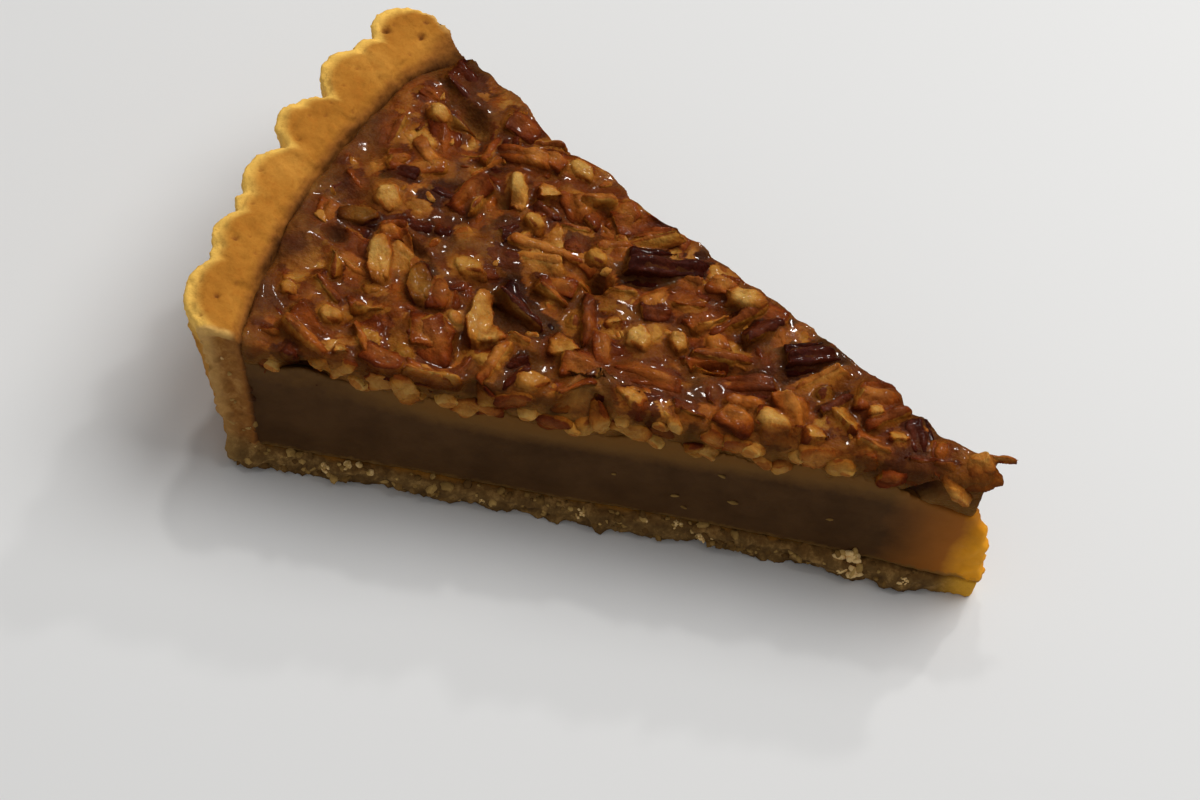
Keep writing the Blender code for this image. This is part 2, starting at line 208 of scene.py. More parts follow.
def stretched(draw, *ranges):
    return Matrix.Diagonal((*[draw.uniform(*ends) for ends in ranges], 1.0))


def placeOne(draw, templates, spot, turn, size, shape=Matrix.Identity(4)):
    return copyOf(draw.choice(templates), Matrix.Translation(spot) @ turn @ shape @ Matrix.Scale(size, 4))


def joined(pieces, name):
    # One mesh of many, with its place in the mesh
    pick(*pieces)
    bpy.ops.object.join()
    piece = bpy.context.object
    piece.name = name
    piece.data.name = name
    bpy.ops.object.transform_apply(location=True, rotation=True, scale=True)
    return piece


def discard(*pieces):
    for piece in pieces:
        bpy.data.objects.remove(piece, do_unlink=True)


def finishPiece(piece, node, material):
    # Moves the piece from the tart's axis to its place in the frame
    piece.data.transform(Matrix.Translation(axisSpot))
    piece.data.materials.clear()
    piece.data.materials.append(material)
    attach(piece, "root")
    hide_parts(node)
    print(piece.name, len(piece.data.polygons), "faces")


# Material helpers

def newMaterial(name, values):
    made = bpy.data.materials.new(name)
    made.use_nodes = True
    shader = made.node_tree.nodes["Principled BSDF"]
    for key, value in values.items():
        shader.inputs[key].default_value = value
    return made, made.node_tree, shader


def addNode(tree, kind, inputs=None, **settings):
    made = tree.nodes.new("ShaderNode" + kind)
    for name, value in settings.items():
        setattr(made, name, value)
    for name, value in (inputs or {}).items():
        if isinstance(value, bpy.types.NodeSocket):
            tree.links.new(value, made.inputs[name])
        else:
            made.inputs[name].default_value = value
    return made


def coordinate(tree, kind, axis):
    return addNode(tree, "SeparateXYZ", {"Vector": addNode(tree, "TexCoord").outputs[kind]}).outputs[axis]


def spots(tree, scale, detail=3.0, roughness=0.6, distortion=0.0):
    coords = addNode(tree, "TexCoord").outputs["Object"]
    values = {"Scale": scale, "Detail": detail, "Roughness": roughness, "Distortion": distortion}
    return addNode(tree, "TexNoise", {"Vector": coords, **values}).outputs["Fac"]


def ramp(tree, share, stops):
    made = addNode(tree, "ValToRGB", {"Fac": share})
    points = made.color_ramp.elements
    while len(points) < len(stops):
        points.new(0.5)
    for point, (place, colour) in zip(points, stops):
        point.position = place
        point.color = (*colour, 1.0)
    return made.outputs["Color"]


def blend(tree, share, first, second, how="MIX"):
    made = addNode(tree, "Mix", data_type="RGBA", blend_type=how)
    for index, value in ((0, share), (6, first), (7, second)):
        if isinstance(value, bpy.types.NodeSocket):
            tree.links.new(value, made.inputs[index])
        elif index == 0:
            made.inputs[index].default_value = value
        else:
            made.inputs[index].default_value = (*value, 1.0)
    return made.outputs[2]


def sums(tree, how, first, second):
    made = addNode(tree, "Math", operation=how)
    for index, value in enumerate((first, second)):
        if isinstance(value, bpy.types.NodeSocket):
            tree.links.new(value, made.inputs[index])
        else:
            made.inputs[index].default_value = value
    return made.outputs["Value"]


def times(tree, first, second):
    return sums(tree, "MULTIPLY", first, second)


def wavered(tree, value, pattern, amount):
    # The value made uneven by a pattern
    return sums(tree, "ADD", value, times(tree, sums(tree, "SUBTRACT", pattern, 0.5), amount))


def between(tree, value, low, high, toLow=0.0, toHigh=1.0):
    values = {"Value": value, "From Min": low, "From Max": high, "To Min": toLow, "To Max": toHigh}
    return addNode(tree, "MapRange", values, clamp=True).outputs["Result"]


def valueOf(tree, name):
    return addNode(tree, "Attribute", attribute_name=name).outputs["Fac"]


def finishSurface(tree, shader, colour, height, strength, depth):
    bump = addNode(tree, "Bump", {"Height": height, "Strength": strength, "Distance": depth})
    tree.links.new(colour, shader.inputs["Base Color"])
    tree.links.new(bump.outputs["Normal"], shader.inputs["Normal"])


def twoGrains(tree, middle, fine):
    return sums(tree, "ADD", times(tree, middle, 0.6), times(tree, fine, 0.4))


# Camera, at the height and turn of the picture
cameraPlan = {
    "azimuth": math.radians(15.186), "elevation": math.radians(52.845), "roll": math.radians(12.504),
    "aside": -63.377 * mm, "above": 32.920 * mm, "distance": 527.569 * mm,
    "sensor": 36.0, "focalPixels": 3000.0, "pictureWidth": 1200.0,
}


def addCamera():
    a, e, r = cameraPlan["azimuth"], cameraPlan["elevation"], cameraPlan["roll"]
    back = Vector((math.sin(a) * math.cos(e), -math.cos(a) * math.cos(e), math.sin(e)))
    level = Vector((math.cos(a), math.sin(a), 0.0))
    upward = back.cross(level)
    right = level * math.cos(r) + upward * math.sin(r)
    up = upward * math.cos(r) - level * math.sin(r)
    spot = axisSpot + right * cameraPlan["aside"] + up * cameraPlan["above"] + back * cameraPlan["distance"]
    lens = cameraPlan["sensor"] * cameraPlan["focalPixels"] / cameraPlan["pictureWidth"]
    bpy.ops.object.camera_add(location=spot, rotation=Matrix((right, up, back)).transposed().to_euler())
    camera = bpy.context.object
    camera.name = "pictureCamera"
    camera.data.lens = lens
    camera.data.sensor_width = cameraPlan["sensor"]
    camera.data.clip_start = 0.01
    scene.camera = camera


addCamera()
print("camera is set")


# The pastry shell

crustPlan = {
    "voxel": 0.5 * mm, "alongBase": 60, "throughWall": 8, "around": 150, "upBase": 3, "upWall": 22,
    "crumbs": 420, "crumbSize": (0.35 * mm, 1.15 * mm), "crumbStart": 8.0 * mm, "crumbsOnWall": 0.3,
    "baseCrumbs": (0.6 * mm, 4.6 * mm), "wallCrumbs": (0.8 * mm, 29.0 * mm), "crumbSink": (0.0, 0.6),
    "crumbInset": (0.4 * mm, 0.6 * mm),
    "cutRough": ((5.0 * mm, 1.1 * mm), (1.6 * mm, 0.9 * mm)), "cutMiddle": 0.52,
    "outerRough": ((6.0 * mm, 1.1 * mm), (2.4 * mm, 1.0 * mm), (1.1 * mm, 0.6 * mm)),
    "bakePits": 16, "bakePitSize": (0.25, 0.42), "bakePitRadius": (131.0, 139.0), "bakePitAngle": (-0.3, 0.3),
    "pitReach": 1.6, "pitDepth": 1.5, "darkPit": 0.45 * mm, "pitsAbove": 31.0 * mm,
    "stainAbove": 6.0 * mm, "stainReach": (2.6, 5.4),
    "edgeStart": 3.4 * mm, "edgeWidth": 3.0 * mm,
}

# The pressed lobes round the rim: middle and half width in degrees, and how far each stands out
lobes = [
    (-14.3, 3.3, 3.9 * mm), (-11.0, 1.5, 2.3 * mm), (-8.9, 2.5, 3.3 * mm), (-5.9, 1.2, 2.4 * mm),
    (-2.8, 2.8, 3.7 * mm), (2.8, 2.5, 5.1 * mm), (4.6, 1.4, 4.0 * mm), (9.0, 2.9, 5.6 * mm),
    (11.9, 1.6, 3.9 * mm), (15.3, 2.8, 6.0 * mm),
]
# Dark pits in the top of the rim: angle in degrees, radius and size in mm
rimPits = [
    (14.1, 138.9, 0.9), (15.9, 134.0, 0.6), (17.0, 135.4, 0.5), (13.9, 132.4, 0.4),
    (-14.9, 135.2, 0.5), (-9.6, 135.8, 0.6), (4.4, 134.6, 0.4), (9.6, 136.5, 0.4),
]


def flute(angle):
    # How far the rim's lobes stand out at that angle
    turn = math.degrees(angle)
    crowns = [reach * (1.0 - abs((turn - middle) / width) ** tart["fluteRoundness"])
              for middle, width, reach in lobes if abs(turn - middle) < width]
    return max(crowns, default=0.0)


def farCorner(angle):
    return smooth((angle / halfAngle - tart["cornerStart"]) / (1.0 - tart["cornerStart"]))


def wallInner(share, angle):
    foot = tart["footRadius"] - tart["wallAtFoot"]
    inner = tart["rimInner"] - tart["cornerWiden"] * farCorner(angle)
    return mix(foot, inner, max(share, 0.0) ** tart["wallCurve"])


def wallOuter(share, angle):
    fluted = mix(tart["fluteAtFoot"], 1.0, share) * flute(angle)
    return mix(tart["footRadius"], tart["rimRadius"], share) + fluted


def rimHeight(across, angle):
    fall = (tart["rimFall"] + tart["cornerFall"] * farCorner(angle)) * (1.0 - across) ** tart["rimFallCurve"]
    fall += tart["innerRound"] * max(1.0 - across / tart["innerRoundEnd"], 0.0) ** 2
    shoulder = max(across - tart["shoulderStart"], 0.0) / (1.0 - tart["shoulderStart"])
    size = tart["rimLumpSize"]
    lump = tart["rimLump"] * grain(polar(tart["rimRadius"], angle, across * size), size)
    return tart["rimHeight"] - fall - tart["shoulderDrop"] * shoulder + lump


def tipFade(radius):
    return 1.0 - smooth((radius - tart["baseTip"]) / tart["pushReach"])


def crustPoint(radius, angle, level):
    onWall = radius > wallFoot + tiny or (radius > wallFoot - tiny and level > tart["baseThickness"] + tiny)
    if not onWall:
        return polar(radius, angle, level) + Vector((tart["tipPush"] * tipFade(radius), 0.0, 0.0))
    across = (radius - wallFoot) / tart["wallAtFoot"]
    share = level / tart["rimHeight"]
    height = level
    if level > tart["baseThickness"]:
        rise = (level - tart["baseThickness"]) / (tart["rimHeight"] - tart["baseThickness"])
        height = mix(tart["baseThickness"], rimHeight(across, angle), rise)
    return polar(mix(wallInner(share, angle), wallOuter(share, angle), across), angle, height)


def ledge(point):
    # The base stands out from under the filling at the two cuts, unevenly
    low = 1.0 - smooth((point.z - tart["ledgeTop"]) / tart["ledgeFade"])
    fine = 0.5 * tart["ledgeUneven"] * grain(point, tart["ledgeFineSize"])
    return low * (tart["ledge"] + tart["ledgeUneven"] * grain(point, tart["ledgeSize"], 7.0) + fine)


def ledgeGrowth(x):
    return smooth((-x - tart["ledgeStart"]) / tart["ledgeGrowth"])


def blockOf(radii, angles, levels, keepAbove=None):
    # A grid of radius and angle, extruded level by level
    bpy.ops.mesh.primitive_grid_add(x_subdivisions=len(radii) - 1, y_subdivisions=len(angles) - 1, size=1.0)
    block = bpy.context.object
    for vert in block.data.vertices:
        column = round((vert.co.x + 0.5) * (len(radii) - 1))
        row = round((vert.co.y + 0.5) * (len(angles) - 1))
        vert.co = Vector((radii[column], angles[row], levels[0]))
    editing(block)
    bpy.ops.mesh.select_all(action="SELECT")
    for low, high in zip(levels, levels[1:]):
        if keepAbove is not None and abs(low - keepAbove[0]) < tiny:
            # From this height up only the part past that radius goes on
            doneEditing()
            chosen = [face for face in block.data.polygons if face.select]
            kept = [face.index for face in chosen if face.center.x > keepAbove[1]]
            editing(block)
            bpy.ops.mesh.select_all(action="DESELECT")
            doneEditing()
            for index in kept:
                block.data.polygons[index].select = True
            editing(block)
        bpy.ops.mesh.extrude_region_move(TRANSFORM_OT_translate={"value": (0.0, 0.0, high - low)})
    doneEditing()
    return block


crumbPlan = {"shapes": 5, "rough": 0.45, "roughSize": 1.3, "seedStep": 3.7}


def crumbShapes():
    # Small rough lumps with a few dozen faces
    balls = []
    for seed in range(crumbPlan["shapes"]):
        bpy.ops.mesh.primitive_ico_sphere_add(subdivisions=2, radius=1.0)
        ball = bpy.context.object
        for vert in ball.data.vertices:
            where = vert.co * crumbPlan["roughSize"] + Vector((0.0, 0.0, seed * crumbPlan["seedStep"]))
            vert.co *= 1.0 + crumbPlan["rough"] * noise.noise(where)
        balls.append(ball)
    return balls


def crustCrumbs(draw):
    # Crumbs that stand out of the two cuts
    lumps = crumbShapes()
    copies = []
    for side in (-1.0, 1.0):
        for index in range(crustPlan["crumbs"]):
            onWall = draw.random() < crustPlan["crumbsOnWall"]
            radius = draw.uniform(crustPlan["crumbStart"], wallFoot)
            height = draw.uniform(*crustPlan["wallCrumbs" if onWall else "baseCrumbs"])
            if onWall:
                share = height / tart["rimHeight"]
                inset, outset = crustPlan["crumbInset"]
                inner = wallInner(share, side * halfAngle) + inset
                radius = draw.uniform(inner, wallOuter(share, side * halfAngle) - outset)
            spot = polar(radius, side * halfAngle, height)
            spot.x += tart["tipPush"] * tipFade(radius)
            size = mix(*crustPlan["crumbSize"], draw.random() ** 2)
            spot.y -= side * size * draw.uniform(*crustPlan["crumbSink"])
            copies.append(placeOne(draw, lumps, spot, tumbled(draw), size))
    discard(*lumps)
    return copies


def allPits(draw):
    pits = [(polar(radius * mm, math.radians(angle), 0.0), size * mm) for angle, radius, size in rimPits]
    for index in range(crustPlan["bakePits"]):
        radius = draw.uniform(*crustPlan["bakePitRadius"]) * mm
        spot = polar(radius, draw.uniform(*crustPlan["bakePitAngle"]), 0.0)
        pits.append((spot, draw.uniform(*crustPlan["bakePitSize"]) * mm))
    return pits


def pressPits(point, pits):
    # Sinks a point of the rim into the pits and tells how brown it is there
    brown = 0.0
    for spot, size in pits:
        away = math.hypot(point.x - spot.x, point.y - spot.y)
        if away < size * crustPlan["pitReach"]:
            deep = 1.0 - smooth(away / (size * crustPlan["pitReach"]))
            point.z -= crustPlan["pitDepth"] * size * deep
            brown = max(brown, deep * (0.9 if size > crustPlan["darkPit"] else 0.5))
    return brown


def dressCrust(crust, pits):
    # The pits, the ledge and the values that the material reads
    values = {"cut": [], "stain": [], "edge": [], "glowAtPoint": []}
    for vert in crust.data.vertices:
        point = vert.co
        radius, angle = roundAxis(point)
        values["cut"].append(smooth((outOfCuts(point) + 1.1 * mm) / (0.7 * mm)))
        inner = wallInner(point.z / tart["rimHeight"], angle)
        least, more = crustPlan["stainReach"]
        reach = (least + more * farCorner(angle)) * mm
        stain = 1.0 - smooth((radius - inner) / reach) if point.z > crustPlan["stainAbove"] else 0.0
        if point.z > crustPlan["pitsAbove"] and radius > inner + 1.0 * mm:
            stain = max(stain, pressPits(point, pits))
        values["stain"].append(stain)
        # The outer edge: it marks the painted highlight on the rim's edges and the pale lip of the cut
        outer = wallOuter(min(point.z / tart["rimHeight"], 1.0), angle)
        edge = smooth((radius - outer + crustPlan["edgeStart"]) / crustPlan["edgeWidth"])
        values["edge"].append(edge if radius > 120.0 * mm else 0.0)
        for side in (-1.0, 1.0):
            atCut = smooth((outOfCut(point, side) + 2.5 * mm) / (2.0 * mm)) * ledgeGrowth(point.x)
            if atCut > 0.0:
                point += outward(side) * ledge(point) * atCut
        # Toward the point: painted light, as if the thin pastry were lit through from behind and glowing
        values["glowAtPoint"].append(smooth((point.x + 5.0 * mm) / (6.0 * mm)))
        point.z = max(point.z, 0.0)
    for name, numbers in values.items():
        setValues(crust, name, numbers)


def makeCrust(material):
    plan = crustPlan
    radii = steps(tart["baseTip"], wallFoot, plan["alongBase"])
    radii += steps(wallFoot, tart["footRadius"], plan["throughWall"])[1:]
    angles = steps(-halfAngle, halfAngle, plan["around"])
    levels = steps(0.0, tart["baseThickness"], plan["upBase"])
    levels += steps(tart["baseThickness"], tart["rimHeight"], plan["upWall"])[1:]
    crust = blockOf(radii, angles, levels, keepAbove=(tart["baseThickness"], wallFoot))
    for vert in crust.data.vertices:
        vert.co = crustPoint(*vert.co)
    fixNormals(crust)
    draw = random.Random(11)
    crust = joined([crust, *crustCrumbs(draw)], "crustShell")
    remesh(crust, plan["voxel"])
    setGroup(crust, "cutFaces", lambda p: smooth((outOfCuts(p) + 1.6 * mm) / (1.2 * mm))
             * smooth((math.hypot(p.x, p.y) - 4 * mm) / (10 * mm)))
    setGroup(crust, "outside", lambda p: smooth((math.hypot(p.x, p.y) - 128.0 * mm) / (2.0 * mm)))
    for size, depth in plan["cutRough"]:
        roughen(crust, size, depth, "cutFaces", middle=plan["cutMiddle"])
    for size, depth in plan["outerRough"]:
        roughen(crust, size, depth, "outside")
    dressCrust(crust, allPits(draw))
    shade(crust)
    finishPiece(crust, "crust", material)


pastryColours = {
    "golden": ((0.32, (0.36, 0.135, 0.016)), (0.5, (0.45, 0.184, 0.024)), (0.68, (0.56, 0.252, 0.040))),
    "wallCut": ((0.3, (0.22, 0.085, 0.017)), (0.5, (0.32, 0.13, 0.027)), (0.72, (0.50, 0.25, 0.068))),
    "baseCut": ((0.3, (0.104, 0.050, 0.015)), (0.52, (0.185, 0.100, 0.029)), (0.74, (0.45, 0.26, 0.085))),
    "toasted": (0.46, 0.16, 0.018), "rimEdgeHighlight": (1.0, 0.61, 0.13), "lip": (0.70, 0.42, 0.14),
    "topLip": (0.82, 0.50, 0.15), "backlitAmber": (0.80, 0.40, 0.030), "browned": (0.28, 0.10, 0.018),
    "darkest": (0.050, 0.016, 0.005), "speckle": (0.50, 0.28, 0.09),
}


def crustMaterial():
    made, tree, shader = newMaterial("bakedPastry", {"Roughness": 0.8, "Specular IOR Level": 0.12})
    colours = pastryColours
    middle = spots(tree, 420.0, 4.0, 0.7)
    fine = spots(tree, 1700.0, 3.0, 0.7)
    up = coordinate(tree, "Object", "Z")
    golden = ramp(tree, spots(tree, 60.0), colours["golden"])
    toasted = blend(tree, between(tree, middle, 0.5, 0.75, 0.0, 0.6), golden, colours["toasted"])
    # Painted highlight: the rim's outer edges are painted paler toward the top, as edges that catch the light
    rimEdgeHighlight = times(tree, valueOf(tree, "edge"), between(tree, up, 28.0 * mm, 32.5 * mm, 0.1, 0.95))
    paler = blend(tree, rimEdgeHighlight, toasted, colours["rimEdgeHighlight"])
    baseCut, wallCut = ramp(tree, middle, colours["baseCut"]), ramp(tree, middle, colours["wallCut"])
    crumbly = blend(tree, between(tree, up, 4.0 * mm, 8.0 * mm), baseCut, wallCut)
    atLip = times(tree, valueOf(tree, "edge"), between(tree, up, 8.0 * mm, 30.0 * mm, 0.3, 0.75))
    lip = blend(tree, atLip, crumbly, colours["lip"])
    topLip = blend(tree, between(tree, up, 32.4 * mm, 34.2 * mm, 0.0, 0.7), lip, colours["topLip"])
    withCut = blend(tree, valueOf(tree, "cut"), paler, topLip)
    # Painted light: orange-yellow toward the point, as if the pastry were lit through from behind and glowing
    backlitAmber = blend(tree, times(tree, valueOf(tree, "glowAtPoint"), 0.9), withCut, colours["backlitAmber"])
    stain = wavered(tree, valueOf(tree, "stain"), middle, 0.5)
    browned = blend(tree, between(tree, stain, 0.05, 0.6, 0.0, 0.9), backlitAmber, colours["browned"])
    stained = blend(tree, between(tree, stain, 0.55, 1.0, 0.0, 0.95), browned, colours["darkest"])
    inSpeckle = between(tree, fine, 0.46, 0.74, 0.0, 0.25)
    speckled = blend(tree, inSpeckle, stained, colours["speckle"], "MULTIPLY")
    finishSurface(tree, shader, speckled, twoGrains(tree, middle, fine), 0.6, 0.6 * mm)
    return made


# The filling

fillingPlan = {
    "swell": 0.35 * mm, "swellSize": 9.0 * mm,
    "drag": 0.10 * mm, "dragLength": 20 * mm, "dragWidth": 1.1 * mm,
    "lip": 4.6 * mm, "lipSize": 7.0 * mm, "lipStart": 9.0 * mm, "lipGrowth": 12.0 * mm,
    "tipDrop": 3.0 * mm, "tipStart": 3.0 * mm, "tipReach": 15.0 * mm, "wallOverlap": 1.0 * mm,
    "voxel": 0.6 * mm, "along": 190, "around": 14, "up": 28,
    "sideRough": (3.0 * mm, 0.22 * mm), "pointRough": ((3.0 * mm, 1.6 * mm), (1.4 * mm, 0.6 * mm)),
    "wallStart": 96.0 * mm, "wallReach": 20.0 * mm, "shadedAtWall": 0.4,
}
# Torn lumps at the filling's point, in mm: toward the point, toward the far cut, height, size
tornLumps = [
    (-1.2, 0.0, 17.0, 2.0), (-0.7, -0.3, 14.2, 2.4), (-2.0, 0.5, 11.0, 2.2), (-0.6, 0.3, 8.8, 2.2),
    (-1.2, -0.6, 6.8, 2.0), (-3.0, -0.8, 15.4, 1.8), (-3.4, -1.1, 9.6, 1.9),
]


def fillingTop(radius, angle):
    along = 1.0 - radius / tart["rimInner"]
    swell = tart["wave"] * math.cos(2.0 * math.pi * (along - tart["waveCrest"]))
    fromPoint = smooth((radius - fillingPlan["tipStart"]) / fillingPlan["tipReach"])
    swell -= fillingPlan["tipDrop"] * (1.0 - fromPoint)
    ripple = grain(polar(radius, angle, 0.0), tart["rippleSize"], 2.0)
    return tart["fillingTop"] + swell + tart["ripple"] * ripple


def fillingPush(share):
    if share < 0.5:
        return mix(tart["bottomPush"], tart["bellyPush"], share * 2.0)
    return mix(tart["bellyPush"], tart["topPush"], (share - 0.5) * 2.0)


def fillingLip(radius, angle):
    # At the two cuts the filling stands a little higher, with an uneven edge
    atCut = smooth((abs(angle) / halfAngle - 0.8) / 0.2)
    uneven = grain(polar(radius, angle, 0.0), fillingPlan["lipSize"], 6.0)
    grown = smooth((radius - fillingPlan["lipStart"]) / fillingPlan["lipGrowth"])
    return fillingPlan["lip"] * atCut * (0.85 + 0.7 * uneven) * grown


def fillingPoint(radius, angle, share, lip=0.0):
    height = mix(tart["baseThickness"] + 0.1 * mm, fillingTop(radius, angle) + lip, share)
    wall = wallInner(height / tart["rimHeight"], angle) + fillingPlan["wallOverlap"]
    moved = mix(tart["baseTip"], wall, (radius - tart["baseTip"]) / (wallFoot - tart["baseTip"]))
    point = polar(moved, angle, height)
    point.x += fillingPush(share) * tipFade(moved)
    if abs(abs(angle) - halfAngle) < tiny * 10:
        swell = fillingPlan["swell"] * grain(point, fillingPlan["swellSize"], 5.0)
        lines = Vector((point.x / fillingPlan["dragLength"], 0.0, point.z / fillingPlan["dragWidth"]))
        drag = fillingPlan["drag"] * noise.noise(lines)
        point.y += math.copysign(1.0, angle) * (swell + drag) * smooth(radius / (12.0 * mm))
    return point


def makeFilling(material):
    plan = fillingPlan
    radii = steps(tart["baseTip"], wallFoot, plan["along"])
    filling = blockOf(radii, steps(-halfAngle, halfAngle, plan["around"]), steps(0.0, 1.0, plan["up"]))
    for vert in filling.data.vertices:
        radius, angle, share = vert.co
        vert.co = fillingPoint(radius, angle, share, fillingLip(radius, angle))
    fixNormals(filling)
    lumps = []
    for x, y, z, size in tornLumps:
        place = (x * mm, y * mm, z * mm)
        bpy.ops.mesh.primitive_ico_sphere_add(subdivisions=3, radius=size * mm, location=place)
        lumps.append(bpy.context.object)
    filling = joined([filling, *lumps], "brownFilling")
    remesh(filling, plan["voxel"])
    applyModifier(filling, "SMOOTH", factor=0.5, iterations=3)
    setGroup(filling, "sides", lambda p: 1.0 if outOfCuts(p) > -1.0 * mm or p.x > -4 * mm else 0.0)
    roughen(filling, *plan["sideRough"], "sides")
    setGroup(filling, "point", lambda p: smooth((p.x + 4.0 * mm) / (4.0 * mm)))
    for size, depth in plan["pointRough"]:
        roughen(filling, size, depth, "point")
    shade(filling)
    upper = []
    for vert in filling.data.vertices:
        radius = math.hypot(vert.co.x, vert.co.y)
        # Painted shadow: the paler upper band is held back toward the wall, as shade that the nuts cast there
        shadeByWall = mix(1.0, plan["shadedAtWall"], smooth((radius - plan["wallStart"]) / plan["wallReach"]))
        upper.append(shadeByWall * smooth((vert.co.z - fillingTop(radius, 0.0) + 5.0 * mm) / (9.0 * mm)))
    # toPoint carries painted light toward the point, where the filling is painted as if lit through from
    # behind
    toPoint = [smooth(1.0 - (3.0 * mm - v.co.x) / (26.0 * mm)) for v in filling.data.vertices]
    setValues(filling, "toPoint", toPoint)
    setValues(filling, "upper", upper)
    finishPiece(filling, "filling", material)


fillingColours = {
    "dark": ((0.35, (0.072, 0.032, 0.0105)), (0.65, (0.102, 0.047, 0.0155))),
    "olive": (0.180, 0.082, 0.019), "underNuts": (0.205, 0.085, 0.015), "backlitRed": (0.36, 0.115, 0.013),
    "backlitGlow": (0.92, 0.385, 0.015), "base": (0.20, 0.105, 0.027),
}


def fillingMaterial():
    made, tree, shader = newMaterial("brownFilling", {
        "Roughness": 0.5, "Specular IOR Level": 0.08, "Subsurface Weight": 0.08,
        "Subsurface Radius": (1.0, 0.45, 0.1), "Subsurface Scale": 1.5 * mm,
    })
    colours = fillingColours
    cloudy = spots(tree, 120.0, 4.0)
    fine = spots(tree, 480.0, 4.0, 0.65)
    dark = ramp(tree, cloudy, colours["dark"])
    patchy = wavered(tree, valueOf(tree, "upper"), fine, 0.35)
    olive = blend(tree, between(tree, patchy, 0.15, 0.62), dark, colours["olive"])
    warmer = blend(tree, between(tree, patchy, 0.60, 1.0), olive, colours["underNuts"])
    # Painted light: red, then orange-yellow toward the point, as if the filling were lit through from behind
    # and glowing
    toPoint = wavered(tree, valueOf(tree, "toPoint"), cloudy, 0.3)
    backlitRed = blend(tree, between(tree, toPoint, 0.18, 0.80), warmer, colours["backlitRed"])
    backlitGlow = blend(tree, between(tree, toPoint, 0.82, 1.04), backlitRed, colours["backlitGlow"])
    uneven = wavered(tree, coordinate(tree, "Object", "Z"), fine, 3.0 * mm)
    based = blend(tree, between(tree, uneven, 5.6 * mm, 6.4 * mm, 0.75, 0.0), backlitGlow, colours["base"])
    finishSurface(tree, shader, based, fine, 0.3, 0.3 * mm)
    return made


# Pecans: one half, chopped into pieces of several kinds

halfPlan = {
    "length": 34.0 * mm, "width": 18.0 * mm, "height": 9.5 * mm, "inner": 0.3,
    "grooveAt": 0.62, "grooveWidth": 0.17, "groove": 0.34, "blunt": 0.14,
    "wrinkle": 0.18, "ridge": 0.06, "ridges": 10.0,
}


def pecanHalf():
    # The back with its two long grooves is up and the flat inner face is down
    turn = (0.0, math.pi / 2, 0.0)
    bpy.ops.mesh.primitive_uv_sphere_add(segments=72, ring_count=48, radius=1.0, rotation=turn)
    half = bpy.context.object
    bpy.ops.object.transform_apply(location=False, rotation=True, scale=False)
    for vert in half.data.vertices:
        x, y, z = vert.co
        around = math.atan2(y, z)
        ends = max(1.0 - x * x, 0.0)
        groove = math.exp(-((abs(around) - halfPlan["grooveAt"]) / halfPlan["grooveWidth"]) ** 2) * ends
        wrinkle = halfPlan["wrinkle"] * noise.noise(Vector((x * 3.2, around * 3.4, 0.0)))
        wander = 1.5 * noise.noise(Vector((x * 2.0, around, 7.0)))
        ridge = halfPlan["ridge"] * math.sin(around * halfPlan["ridges"] + wander)
        size = (1.0 - halfPlan["groove"] * groove + (wrinkle + ridge) * ends) * (1.0 - halfPlan["blunt"] * x)
        if z < 0.0:
            z *= halfPlan["inner"] * (1.0 + 0.5 * math.exp(-(y / 0.16) ** 2))
        across, up = y * size * halfPlan["width"] / 2, z * size * halfPlan["height"]
        vert.co = Vector((x * halfPlan["length"] / 2, across, up))
    return half


